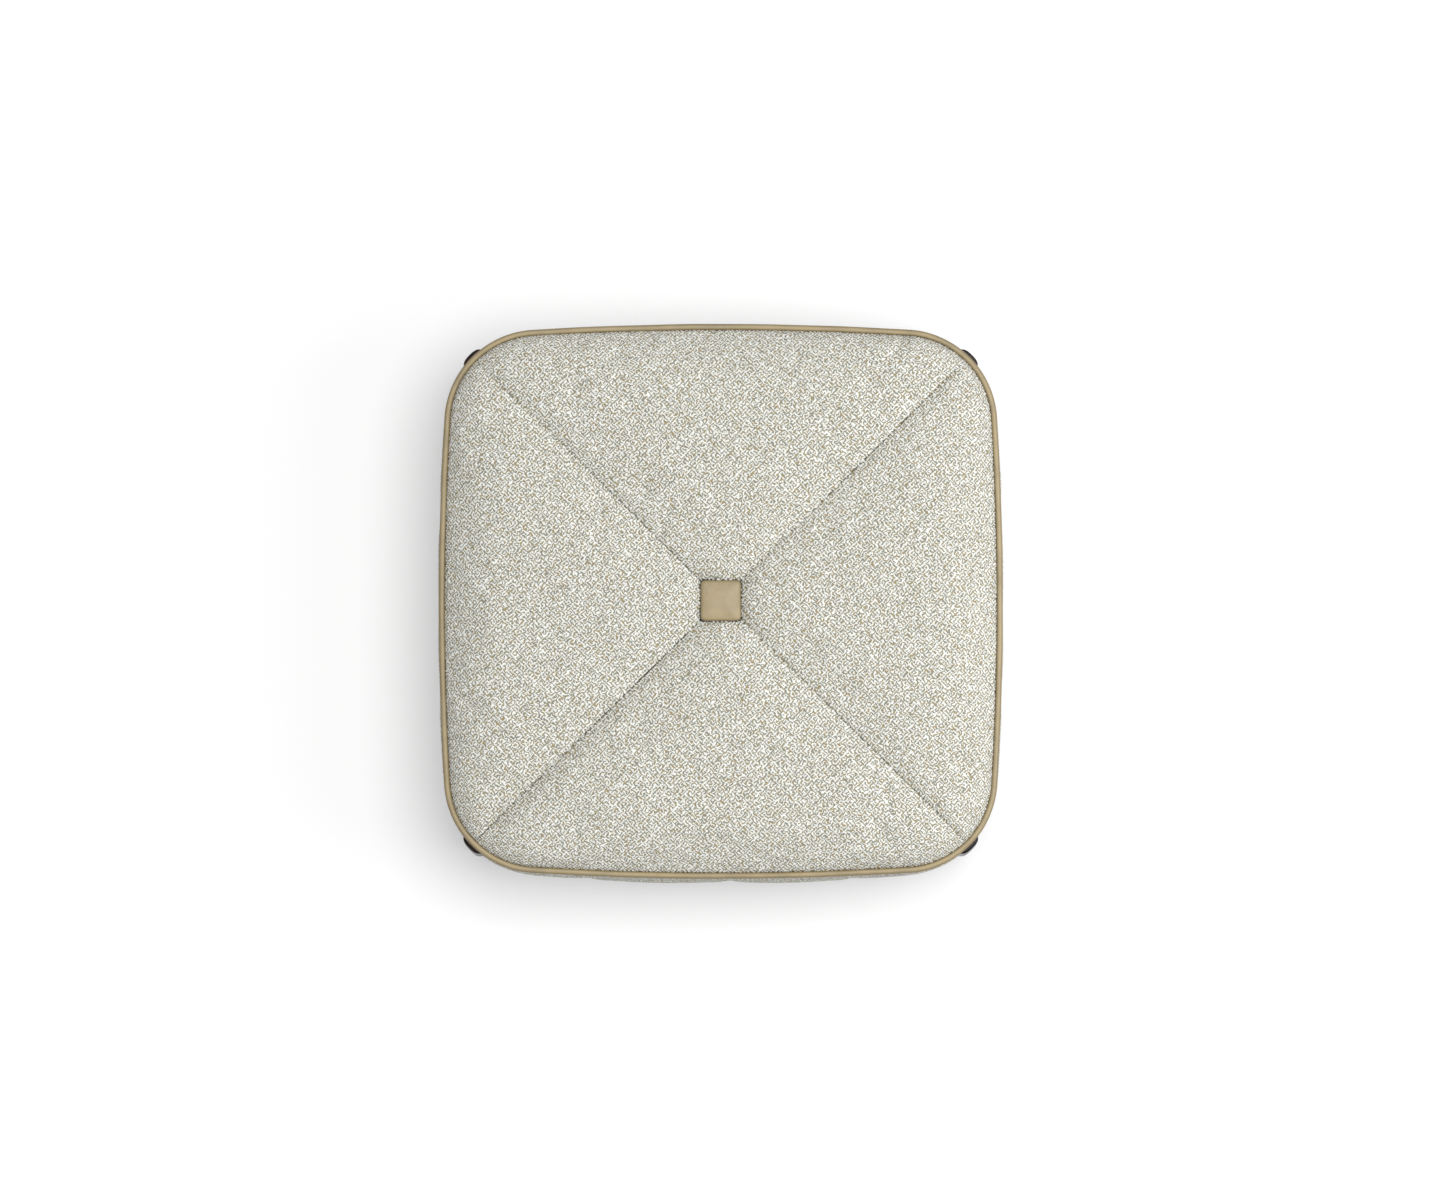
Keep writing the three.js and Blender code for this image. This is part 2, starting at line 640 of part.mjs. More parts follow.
// Leather folded round a cord: a tube that is open on its inner side.
function pipingGeometry() {
  const outer = PIPING_DIAMETER / 2;
  const bore = outer - PIPING_LEATHER;
  const arc = (radius, mouth, steps) =>
    Array.from({ length: steps + 1 }, (_, i) => {
      const angle = -mouth + (2 * mouth * i) / steps;
      return [radius * Math.cos(angle), radius * Math.sin(angle)];
    });
  return rimRing([...arc(outer, 2.9, 6), ...arc(bore, 2.8, 6).reverse()]);
}

function pipingCordGeometry() {
  const radius = PIPING_DIAMETER / 2 - PIPING_LEATHER - GAP;
  const sides = 5;
  return rimRing(
    Array.from({ length: sides }, (_, i) => {
      const angle = (2 * Math.PI * i) / sides;
      return [radius * Math.cos(angle), radius * Math.sin(angle)];
    }),
  );
}

// ---- Button ----

const BUTTON_SEAT = coverHeight(HOLE_HALF, 0, 1) + 0.4; // underside of the leather

function buttonLeatherGeometry() {
  const levels = [
    [HOLE_HALF + 0.3, 0],
    [BUTTON_HALF - 0.5, 2.9],
    [BUTTON_HALF, 4.2],
    [BUTTON_HALF - 0.6, 6],
    [BUTTON_HALF - 3, 7.2],
    [BUTTON_HALF - 9, 7.9],
  ];
  const rings = levels.map(([half, up]) => superellipse(half, BUTTON_SQUARENESS, BUTTON_SEAT + up, 24));
  const bed = [-1, 5.2].map((up) => superellipse(BUTTON_BED, BUTTON_SQUARENESS, BUTTON_SEAT + up, 24));
  return cut(loft(rings), loft(bed));
}

function buttonCoreGeometry() {
  const half = BUTTON_BED - GAP;
  const levels = [0, 4.9].map((up) => superellipse(half, BUTTON_SQUARENESS, BUTTON_SEAT + up, 24));
  return cut(loft(levels), cylinder(TWINE_RADIUS + GAP, BUTTON_SEAT - 1, BUTTON_SEAT + 3.5));
}

function twineGeometry() {
  const knot = ANCHOR_TOP - ANCHOR_THICKNESS - GAP;
  const profile = [
    [0, knot - 5],
    [2, knot - 4],
    [3, knot - 2],
    [2, knot],
    [TWINE_RADIUS, knot],
    [TWINE_RADIUS, BUTTON_SEAT + 3],
    [0, BUTTON_SEAT + 3],
  ];
  return turned(profile, 8);
}

function anchorGeometry() {
  return washer(TWINE_RADIUS + GAP, ANCHOR_RADIUS, ANCHOR_TOP - ANCHOR_THICKNESS, ANCHOR_TOP);
}

function addPadding() {
  add("foam_core", foamGeometry(), foamYellow);
  add("wadding", waddingGeometry(), whiteWadding);
}

function addCover() {
  SIDES.forEach((side, quarter) => {
    add(`top_panel_${side}`, topPanelGeometry(quarter), boucle);
    add(`side_band_${side}`, sideBandGeometry(quarter), boucle);
  });
  add("piping_leather", pipingGeometry(), leather);
  add("piping_cord", pipingCordGeometry(), cotton);
}

function addButton() {
  add("button_leather", buttonLeatherGeometry(), leather);
  add("button_core", buttonCoreGeometry(), nylon);
  add("button_twine", twineGeometry(), cotton);
  add("button_anchor", anchorGeometry(), nylon);
}

addFrame();
addSuspension();
addPadding();
addCover();
addButton();

export default pad;
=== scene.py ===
"""A square seat pad in looped cloth, with a leather button, leather piping and four short corner legs.

Everything is in metres in the frame's own axes: +Z up, -Y to the front, the floor at zero. Each operator
makes one piece or a group of like pieces around the fixed frame that was loaded at the top.
"""

import math

import bmesh
import bpy
import numpy as np
from bpy.props import FloatProperty, FloatVectorProperty, IntProperty, PointerProperty
from mathutils import Matrix, Vector, noise


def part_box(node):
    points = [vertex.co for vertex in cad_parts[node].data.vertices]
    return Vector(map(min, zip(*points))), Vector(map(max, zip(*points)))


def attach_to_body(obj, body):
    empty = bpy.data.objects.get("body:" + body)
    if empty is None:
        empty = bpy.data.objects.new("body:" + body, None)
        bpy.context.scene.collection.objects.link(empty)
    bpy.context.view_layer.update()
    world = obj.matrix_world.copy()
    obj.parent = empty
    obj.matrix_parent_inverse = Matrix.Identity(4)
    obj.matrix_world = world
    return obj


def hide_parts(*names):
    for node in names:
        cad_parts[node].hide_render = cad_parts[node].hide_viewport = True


bl_info = {
    "name": "Seat pad in looped cloth",
    "version": (1, 0, 0),
    "blender": (4, 5, 0),
    "location": "3D View > Sidebar > Seat pad",
    "description": "Makes the cover, piping, button, legs and fittings of a square seat pad",
    "category": "Add Mesh",
}

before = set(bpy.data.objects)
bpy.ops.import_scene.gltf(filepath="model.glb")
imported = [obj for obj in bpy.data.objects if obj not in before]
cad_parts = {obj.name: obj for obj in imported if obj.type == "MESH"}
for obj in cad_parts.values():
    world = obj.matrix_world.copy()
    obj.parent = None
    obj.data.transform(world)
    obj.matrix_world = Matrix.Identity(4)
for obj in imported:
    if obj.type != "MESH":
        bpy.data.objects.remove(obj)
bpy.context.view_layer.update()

# ---- Places and sizes that the frame settles ----

CORNERS = {
    "back_right": (1, 1),
    "back_left": (-1, 1),
    "front_left": (-1, -1),
    "front_right": (1, -1),
}
SIDES = ("right", "back", "left", "front")  # the side that faces a quarter turn times its index
BODY = "pad"


def middle(node):
    """The centre of a node's box."""
    low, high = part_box(node)
    return (low + high) / 2


def quarter_turn(quarter):
    """The turn about Z that takes the +X side to another side."""
    return Matrix.Rotation(quarter * math.pi / 2, 3, "Z")


PIPING_LOW, PIPING_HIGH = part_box("piping_leather")
HALF_WIDTH = (PIPING_HIGH.x - PIPING_LOW.x) / 2
HALF_DEPTH = (PIPING_HIGH.y - PIPING_LOW.y) / 2
PIPING_LEVEL = middle("piping_leather").z
FRAME_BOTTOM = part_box("rail_front")[0].z
DUST_COVER_LEVEL = middle("dust_cover").z
LEG_LOW, LEG_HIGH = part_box("leg_back_right")
BUTTON_LOW, BUTTON_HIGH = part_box("button_leather")


# ---- Sizes and colours that a user may change ----


def length(name, default, description):
    """A length in metres with its name and tooltip."""
    return FloatProperty(name=name, description=description, default=default, unit="LENGTH", precision=5)


def colour(name, default, description):
    """A linear RGB colour with its name and tooltip."""
    return FloatVectorProperty(name=name, description=description, default=default, size=3, subtype="COLOR",
                               min=0, max=1)


class SeatPadSizes(bpy.types.PropertyGroup):
    """Sizes of the soft pieces, the trim and the camera's framing."""

    side_radius: length("Side radius", 2.4, "Radius of the four bowed sides")
    corner_radius: length("Corner radius", 0.075, "Radius of the four corner arcs")
    piping: length("Piping", 0.005, "Thickness of the leather piping")
    crown: length("Crown", 0.0200, "Rise of the foam's edge above the piping")
    edge_roll: length("Edge roll", 0.0130, "How far in from the piping the edge has mostly risen")
    dome: length("Dome", 0.0015, "Further rise from the edge to the middle")
    seam_depth: length("Seam depth", 0.0045, "Depth of the valleys along the diagonal seams")
    seam_reach: length("Seam reach", 0.0110, "How quickly a valley fades out to the side")
    tuft_depth: length("Tuft depth", 0.0060, "How far the button pulls the cover down")
    tuft_reach: length("Tuft reach", 0.009, "How quickly the dip round the button fades out")
    seam_roll: length("Seam roll", 0.0012, "Depth of the crease where two cloth edges turn in")
    loop_relief: length("Loop relief", 0.00028, "Unevenness of the looped cloth's surface")
    band_bulge: length("Band bulge", 0.0030, "How far three of the side bands swell between their edges")
    front_bulge: length("Front bulge", 0.0050, "How far the fuller front band swells")
    button_half: length("Button half", 0.0164, "Half of the square button's width")
    field_width: length("Field width", 1.1525, "Width of the view at the piping's height")
    camera_lens: FloatProperty(name="Lens", description="Focal length in millimetres", default=400.0)
    camera_tilt: FloatProperty(name="Tilt", description="Lean of the camera from upright, towards the front",
                               default=math.radians(2.5), subtype="ANGLE")
    grid: IntProperty(name="Cloth grid", description="Cells across the top, before refining", default=104)


class SeatPadColours(bpy.types.PropertyGroup):
    """Colours of the materials."""

    # Partly the yarn's own white, partly a painted highlight on the loops' crests.
    white_yarn_and_crest_highlight: colour("White yarn", (0.78, 0.79, 0.765), "The brightest loops")
    yarn_cream: colour("Cream yarn", (0.60, 0.595, 0.53), "Most of the loops")
    yarn_grey: colour("Grey yarn", (0.30, 0.30, 0.25), "Duller loops")
    yarn_tan: colour("Tan yarn", (0.42, 0.32, 0.15), "The tan fleck")
    # The ground's colour darkened with painted shade in the gaps between the loops.
    ground_and_gap_shade: colour("Ground", (0.13, 0.115, 0.075), "The ground between the loops")
    leather: colour("Leather", (0.365, 0.29, 0.162), "Piping and button")
    # Painted shade: the leather's colour low on the piping's round and on the button's shoulder, where they
    # turn away from the light.
    painted_edge_shade: colour("Shaded", (0.20, 0.145, 0.062), "Leather along its edges and creases")
    lacquer: colour("Lacquer", (0.007, 0.004, 0.003), "Legs")
    beech: colour("Beech", (0.60, 0.40, 0.22), "Rails and corner blocks")
    floor: colour("Floor", (0.58, 0.58, 0.58), "The studio floor")


# ---- The pad's plan outline ----


class Outline:
    """Four bowed sides that four corner arcs join smoothly, at a given inset from the piping's outside."""

    def __init__(self, sizes, inset=0.0):
        side, corner = sizes.side_radius, sizes.corner_radius
        p, q = side - HALF_WIDTH, side - HALF_DEPTH
        slope = p / q
        offset = (p * p - q * q) / (2 * q)
        b = p + slope * offset
        a = 1 + slope * slope
        x = (-b + math.sqrt(b * b - a * (p * p + offset * offset - (side - corner) ** 2))) / a
        self.corner = Vector((x, slope * x + offset))
        self.turns = (math.atan2(self.corner.y, x + p), math.atan2(x, self.corner.y + q))
        self.side_radius = side - inset
        self.corner_radius = corner - inset
        self.halves = (HALF_WIDTH, HALF_DEPTH)
        self.side = side

    def side_angle(self, quarter, share):
        """The normal's angle, by arc length, at a share from -1 to 1 of the way along one side."""
        turn = self.turns[quarter % 2]
        straight = self.side_radius * turn
        bend = self.corner_radius * (math.pi / 4 - turn)
        along = abs(share) * (straight + bend)
        if along < straight:
            angle = along / self.side_radius
        else:
            angle = turn + (along - straight) / self.corner_radius
        return quarter * math.pi / 2 + math.copysign(angle, share)

    def point(self, angle):
        """The point of the outline whose outward normal has this angle."""
        cos, sin = math.cos(angle), math.sin(angle)
        turn = math.atan2(abs(sin), abs(cos))
        centre, radius = self.corner, self.corner_radius
        if turn < self.turns[0]:
            centre, radius = Vector((HALF_WIDTH - self.side, 0)), self.side_radius
        elif turn > math.pi / 2 - self.turns[1]:
            centre, radius = Vector((0, HALF_DEPTH - self.side)), self.side_radius
        x = centre.x + radius * abs(cos)
        y = centre.y + radius * abs(sin)
        return Vector((math.copysign(x, cos), math.copysign(y, sin), 0))

    def along(self, quarter, point):
        """Arc length from the middle of a side to a point near it, signed like the point's own offset."""
        corner = self.corner if quarter % 2 == 0 else self.corner.yx
        turn = self.turns[quarter % 2]
        x, y = point.x, abs(point.y)
        bend = math.atan2(y - corner.y, x - corner.x)
        if y < corner.y or bend < turn:
            run = self.side_radius * math.asin(min(1, y / self.side_radius))
        else:
            run = self.side_radius * turn + self.corner_radius * (bend - turn)
        return math.copysign(run, point.y)


def in_order(items):
    """The items once each, in the order they come, so that every run makes the same mesh."""
    return list(dict.fromkeys(items))


def sweep_side(bm, profile, outline, quarter, step, reach=math.pi / 4):
    """Spins a profile, drawn in the XZ plane against the +X side, along a side to both of its corners.

    The side is turned to its own quarter at the end. Returns the vertices that were made.
    """
    turn = outline.turns[quarter % 2]
    half = outline.halves[quarter % 2]
    corner = outline.corner if quarter % 2 == 0 else outline.corner.yx
    arcs = (
        (Vector((half - outline.side, 0, 0)), turn, outline.side_radius),
        (Vector((corner.x, corner.y, 0)), reach - turn, outline.corner_radius),
    )
    before = set(bm.verts) - {g for g in profile if isinstance(g, bmesh.types.BMVert)}
    last = profile
    for centre, angle, radius in arcs:
        steps = max(2, round(angle * radius / step))
        spun = bmesh.ops.spin(bm, geom=last, cent=centre, axis=(0, 0, 1), angle=angle, steps=steps)
        last = spun["geom_last"]
    made = [v for v in bm.verts if v not in before]
    faces = in_order(f for v in made for f in v.link_faces)
    edges = in_order(e for v in made for e in v.link_edges)
    bmesh.ops.mirror(bm, geom=[*made, *edges, *faces], axis="Y", merge_dist=1e-6)
    made = [v for v in bm.verts if v not in before]
    bmesh.ops.rotate(bm, cent=(0, 0, 0), matrix=quarter_turn(quarter), verts=made)
    return made


def strip(bm, points):
    """Vertices joined by edges through the given points, as geometry for a spin."""
    verts = [bm.verts.new(p) for p in points]
    edges = [bm.edges.new(pair) for pair in zip(verts, verts[1:])]
    return [*verts, *edges]


def ring_section(bm, centre, radius, segments):
    """A circle in the XZ plane, as geometry for a spin."""
    turned = Matrix.Translation(centre) @ Matrix.Rotation(math.pi / 2, 4, "X")
    verts = bmesh.ops.create_circle(bm, segments=segments, radius=radius, matrix=turned)["verts"]
    return [*verts, *in_order(e for v in verts for e in v.link_edges)]


def finish_mesh(bm, name, material, smooth=True, outward=True):
    """Turns a bmesh into a named object that sits at the origin."""
    if outward:
        bmesh.ops.recalc_face_normals(bm, faces=bm.faces)
    mesh = bpy.data.meshes.new(name)
    bm.to_mesh(mesh)
    bm.free()
    if smooth:
        mesh.polygons.foreach_set("use_smooth", np.ones(len(mesh.polygons), bool))
    mesh.materials.append(material)
    piece = bpy.data.objects.new(name, mesh)
    bpy.context.scene.collection.objects.link(piece)
    return piece


def subdivide(piece, levels):
    """A live Subdivision Surface modifier."""
    modifier = piece.modifiers.new("Smooth", "SUBSURF")
    modifier.levels = modifier.render_levels = levels
    modifier.boundary_smooth = "PRESERVE_CORNERS"
    return modifier


def settle(piece):
    """Replaces the piece's mesh with what its modifiers make, and removes them."""
    evaluated = piece.evaluated_get(bpy.context.evaluated_depsgraph_get())
    mesh = bpy.data.meshes.new_from_object(evaluated)
    piece.modifiers.clear()
    old, piece.data = piece.data, mesh
    bpy.data.meshes.remove(old)
    mesh.name = piece.name


def positions(mesh):
    """The mesh's vertex positions as rows."""
    rows = np.empty(len(mesh.vertices) * 3)
    mesh.vertices.foreach_get("co", rows)
    return rows.reshape(-1, 3)


def attach(piece, slot, *nodes, body=BODY):
    """Rides on a body and stands for the named nodes, which it hides."""
    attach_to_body(piece, body)
    if nodes:
        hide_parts(*nodes)
    return piece


# ---- Materials ----


class Wire:
    """A shader socket that Python arithmetic works on: each operator adds a Math node."""

    def __init__(self, net, socket):
        self.net = net
        self.socket = socket

    def math(self, operation, *others):
        return self.net.node("ShaderNodeMath", {"operation": operation}, dict(enumerate((self, *others))))[0]

    def __add__(self, other):
        return self.math("ADD", other)

    def __sub__(self, other):
        return self.math("SUBTRACT", other)

    def __mul__(self, other):
        return self.math("MULTIPLY", other)

    def __rsub__(self, other):
        return (self * -1) + other

    __radd__ = __add__
    __rmul__ = __mul__

    def ramp(self, low, high, start=0.0, end=1.0):
        """A smooth step from start at low to end at high."""
        values = {"Value": self, "From Min": low, "From Max": high, "To Min": start, "To Max": end}
        return self.net.node("ShaderNodeMapRange", {"interpolation_type": "SMOOTHSTEP"}, values)[0]


class Outputs:
    """A node's outputs, by name or number, as wires."""

    def __init__(self, net, node):
        self.net = net
        self.node = node

    def __getitem__(self, key):
        return Wire(self.net, self.node.outputs[key])


class Net:
    """A material's node tree with one Principled shader."""

    def __init__(self, name):
        self.material = bpy.data.materials.new(name)
        self.material.use_nodes = True
        self.tree = self.material.node_tree
        self.tree.nodes.clear()

    def node(self, kind, settings=None, inputs=None):
        """Adds a node: its settings come first, then the values or wires of its sockets."""
        made = self.tree.nodes.new(kind)
        for key, value in (settings or {}).items():
            if key == "stops":
                self.set_stops(made.color_ramp, value)
            else:
                setattr(made, key, value)
        for key, value in (inputs or {}).items():
            if isinstance(value, Wire):
                self.tree.links.new(value.socket, made.inputs[key])
            else:
                made.inputs[key].default_value = value
        return Outputs(self, made)

    @staticmethod
    def set_stops(ramp, stops):
        while len(ramp.elements) < len(stops):
            ramp.elements.new(1.0)
        for element, (position, rgb) in zip(ramp.elements, stops):
            element.position = position
            element.color = (*rgb, 1.0)

    def mix(self, factor, first, second, blend="MIX"):
        """A colour between two, or one blended with another."""
        pair = [value if isinstance(value, Wire) else (*value, 1.0) for value in (first, second)]
        settings = {"data_type": "RGBA", "blend_type": blend}
        return self.node("ShaderNodeMix", settings, {0: factor, 6: pair[0], 7: pair[1]})[2]

    def vector(self, operation, first, second, key=1):
        """Vector maths on two vectors, or on a vector and a number."""
        return self.node("ShaderNodeVectorMath", {"operation": operation}, {0: first, key: second})[0]

    def object_coordinates(self):
        return self.node("ShaderNodeTexCoord")["Object"]

    def mapped(self, vector, cell, turn=0.0):
        """Coordinates turned about Z, in cells of the given size."""
        inputs = {"Vector": vector, "Rotation": (0, 0, turn), "Scale": cell}
        return self.node("ShaderNodeMapping", {"vector_type": "TEXTURE"}, inputs)[0]

    def noise(self, vector, scale, detail=2.0, roughness=0.5, out=0):
        inputs = {"Vector": vector, "Scale": scale, "Detail": detail, "Roughness": roughness}
        return self.node("ShaderNodeTexNoise", None, inputs)[out]

    def cells(self, vector, scale, randomness=1.0, feature="F1", dimensions="3D"):
        settings = {"voronoi_dimensions": dimensions, "feature": feature}
        inputs = {"Vector": vector, "Scale": scale, "Randomness": randomness}
        return self.node("ShaderNodeTexVoronoi", settings, inputs)

    def bump(self, height, distance, strength=1.0):
        inputs = {"Strength": strength, "Distance": distance, "Height": height}
        return self.node("ShaderNodeBump", None, inputs)[0]

    def finish(self, **sockets):
        """The Principled shader and the output. Underscores in the names stand for spaces."""
        inputs = {key.replace("_", " "): value for key, value in sockets.items()}
        shader = self.node("ShaderNodeBsdfPrincipled", None, inputs)
        self.node("ShaderNodeOutputMaterial", None, {"Surface": shader[0]})
        return self.material


CLOTH_UV = "cloth"  # lengths along the cloth, in metres
LOOP_PITCH = 0.0024  # from one loop to the next


def looped_cloth(colours):
    """Short crossing loops of off-white yarn over a darker ground with tan in it, coloured by their height:
    painted shade in the gaps between the loops and a painted highlight on their crests.
    """
    net = Net("looped_cloth")
    cloth = net.node("ShaderNodeUVMap", {"uv_map": CLOTH_UV})[0]
    axes = net.node("ShaderNodeSeparateXYZ", None, {0: cloth})
    other_place = net.vector("ADD", cloth, (3.7, 1.9, 0.6))
    pitch = 2 * math.pi / (LOOP_PITCH * math.sqrt(2))
    rising_sway = (net.noise(cloth, 330, detail=2) - 0.5) * 12
    falling_sway = (net.noise(other_place, 330, detail=2) - 0.5) * 12
    rising = ((axes["X"] + axes["Y"]) * pitch + rising_sway).math("SINE")
    falling = ((axes["X"] - axes["Y"]) * pitch + falling_sway).math("SINE")
    on_top = net.noise(other_place, 350, detail=0).ramp(0.43, 0.57)
    loops = rising * on_top + falling * (1 - on_top)
    fuzz = net.noise(cloth, 950, detail=2) - 0.5
    tufts = net.noise(cloth, 190, detail=2) - 0.5
    height = loops * 0.52 + 0.5 + fuzz * 0.5 + tufts * 0.15
    # Painted shade in the creases: the stored crease distance darkens the cloth along the seams, under the
    # piping's edge and round the button.
    crease = net.node("ShaderNodeAttribute", {"attribute_name": "crease"})["Fac"]
    painted_crease_shade = (crease + height * 0.0007).ramp(0.0004, 0.0011)
    ground = net.mix(net.noise(cloth, 260, detail=1).ramp(0.42, 0.60), colours.yarn_grey, colours.yarn_tan)
    # The colour follows the loops' height: painted shade in the gaps, the yarn's colours on the sides and a
    # painted highlight on the crests.
    stops = ((0.0, colours.ground_and_gap_shade), (0.30, colours.yarn_grey), (0.52, colours.yarn_cream),
             (0.95, colours.white_yarn_and_crest_highlight))
    yarn_and_relief_shading = net.node("ShaderNodeValToRGB", {"stops": stops}, {0: height})[0]
    tint = net.mix(height.ramp(0.15, 0.50, 0.6, 0.0), yarn_and_relief_shading, ground)
    across = net.noise(net.mapped(cloth, (0.012, 0.0013, 1)), 1.0, detail=1)
    along = net.noise(net.mapped(cloth, (0.0013, 0.012, 1)), 1.0, detail=1)
    slub = (across + along).ramp(0.7, 1.3, 0.91, 1.07)
    # The slub's own tone, times the painted crease shade.
    shade = slub * painted_crease_shade.ramp(0, 1, 0.2, 1.0)
    grey = net.node("ShaderNodeCombineColor", None, {0: shade, 1: shade, 2: shade})[0]
    tint = net.mix(1.0, tint, grey, blend="MULTIPLY")
    bumps = net.bump(height, 0.0006, strength=0.75)
    return net.finish(Base_Color=tint, Roughness=height.ramp(0, 1, 0.98, 0.86), Normal=bumps,
                      Sheen_Weight=0.08, Sheen_Roughness=0.6, Specular_IOR_Level=0.2)


# Heights between which painted shade darkens the piping's round and the button's shoulder.
PIPING_SHADE_LEVELS = (PIPING_LEVEL + 0.0013, PIPING_LEVEL + 0.00247)
BUTTON_SHADE_LEVELS = (BUTTON_HIGH.z - 0.0030, BUTTON_HIGH.z - 0.0006)


def trim_leather(colours, name, shade_levels):
    """Smooth tan leather with a fine grain, darkened with painted shade from the higher level down to the
    lower.
    """
    net = Net(name)
    place = net.object_coordinates()
    # Painted shade mask: strongest at the lower level, none at the higher.
    painted_shade = net.node("ShaderNodeSeparateXYZ", None, {0: place})["Z"].ramp(*shade_levels, 0.85, 0.0)
    pores = net.cells(place, 1500, feature="DISTANCE_TO_EDGE")["Distance"].ramp(0.0, 0.22)
    grain = net.cells(place, 620, feature="SMOOTH_F1")["Distance"]
    tone = net.noise(place, 38, detail=4)
    fleck = net.noise(place, 900, detail=2)
    base = Vector(colours.leather)
    deep, light = tuple(base * 0.80), tuple(base * 1.10)
    tint = net.mix(tone.ramp(0.32, 0.68), deep, light)
    tint = net.mix(pores.ramp(0, 1, 0.30, 0.0) + fleck * 0.08, tint, tuple(base * 0.45))
    # Painted shade on the lower side of the piping and on the button's shoulder.
    tint = net.mix(painted_shade, tint, colours.painted_edge_shade)
    bumps = net.bump(pores * 0.6 + grain * 0.7 + fleck * 0.2, 0.00012, strength=0.55)
    return net.finish(Base_Color=tint, Roughness=tone.ramp(0.3, 0.7, 0.42, 0.54), Normal=bumps,
                      Coat_Weight=0.06, Coat_Roughness=0.35)


def lacquered_wood(colours):
    """Near-black gloss lacquer over close-grained wood, with a hint of red-brown."""
    net = Net("lacquered_wood")
    place = net.mapped(net.object_coordinates(), (1, 1, 9))
    grain = net.noise(place, 420, detail=5, roughness=0.6)
    streak = net.noise(place, 90, detail=2)
    dark = tuple(colours.lacquer)
    warm = tuple(value * gain for value, gain in zip(colours.lacquer, (4.0, 2.2, 1.8)))
    tint = net.mix(streak.ramp(0.4, 0.75) * 0.7, dark, warm)
    bumps = net.bump(grain, 0.00006, strength=0.35)
    return net.finish(Base_Color=tint, Roughness=grain.ramp(0.3, 0.8, 0.26, 0.40), Normal=bumps,
                      Coat_Weight=0.05, Coat_Roughness=0.2, Specular_IOR_Level=0.13)


def beech_wood(colours, turn):
    """Pale wood whose grain runs along the piece, with the short flecks that beech has."""
    net = Net("beech_wood")
    place = net.mapped(net.object_coordinates(), (14, 1, 1), turn)
    growth = net.noise(place, 95, detail=5, roughness=0.62)
    fleck = net.cells(net.mapped(net.object_coordinates(), (0.0042, 0.0009, 0.0009), turn), 1.0)["Distance"]
    base = Vector(colours.beech)
    tint = net.mix(growth.ramp(0.3, 0.7), tuple(base * 0.72), tuple(base * 1.08))
    tint = net.mix(fleck.ramp(0.05, 0.30, 0.55, 0.0), tint, tuple(base * 0.42))
    bumps = net.bump(growth + fleck * 0.3, 0.0002, strength=0.4)
    return net.finish(Base_Color=tint, Roughness=growth.ramp(0.3, 0.7, 0.55, 0.72), Normal=bumps)


def spun_metal(colour_rgb, name, roughness):
    """Plated metal with faint turning marks."""
    net = Net(name)
    place = net.object_coordinates()
    marks = net.noise(net.mapped(place, (1, 1, 0.05)), 160, detail=3)
    tint = net.mix(net.noise(place, 260).ramp(0.35, 0.7), tuple(c * 0.8 for c in colour_rgb), colour_rgb)
    gloss = marks.ramp(0.3, 0.7, roughness, roughness + 0.15)
    return net.finish(Base_Color=tint, Metallic=1.0, Roughness=gloss,
                      Normal=net.bump(marks, 0.00005, strength=0.4))


def moulded_nylon():
    """Black nylon with a fine spark-eroded texture."""
    net = Net("moulded_nylon")
    place = net.object_coordinates()
    grit = net.noise(place, 2600, detail=2)
    tint = net.mix(net.noise(place, 120).ramp(0.3, 0.7), (0.012, 0.012, 0.013), (0.022, 0.022, 0.022))
    return net.finish(Base_Color=tint, Roughness=grit.ramp(0.3, 0.7, 0.42, 0.6),
                      Normal=net.bump(grit, 0.00006))


def plain_weave(name, thread, first, second):
    """A plain weave of round threads, first across and second along."""
    net = Net(name)
    place = net.mapped(net.object_coordinates(), (thread, thread, 1))
    axes = net.node("ShaderNodeSeparateXYZ", None, {0: place})
    wave_x = (axes["X"] * math.pi).math("SINE")
    wave_y = (axes["Y"] * math.pi).math("SINE")
    over = (wave_x * wave_y).ramp(-0.05, 0.05)
    warp = wave_x.math("ABSOLUTE") * over
    weft = wave_y.math("ABSOLUTE") * (1 - over)
    height = warp + weft
    uneven = net.noise(net.object_coordinates(), 300, detail=3)
    tint = net.mix(over, first, second)
    # Painted shade between the threads: the colour darkens where the weave is low.
    tint = net.mix(height.ramp(0.1, 0.8, 0.65, 0.0) + uneven * 0.15, tint, tuple(c * 0.3 for c in first))
    return net.finish(Base_Color=tint, Roughness=uneven.ramp(0.3, 0.7, 0.8, 0.95),
                      Normal=net.bump(height + uneven * 0.4, 0.0003))


def foam_material():
    """Cut polyurethane foam: cream, open-celled and slightly yellowed."""
    net = Net("cut_foam")
    place = net.object_coordinates()
    pits = net.cells(place, 1100, feature="SMOOTH_F1")["Distance"]
    tint = net.mix(net.noise(place, 30, detail=3).ramp(0.3, 0.7), (0.72, 0.64, 0.36), (0.83, 0.77, 0.52))
    # Painted shade in the open cells: the colour darkens towards each pit's bottom.
    tint = net.mix(pits.ramp(0.1, 0.5, 0.4, 0.0), tint, (0.45, 0.37, 0.16))
    return net.finish(Base_Color=tint, Roughness=pits.ramp(0.1, 0.6, 0.98, 0.85),
                      Normal=net.bump(pits, 0.0006))


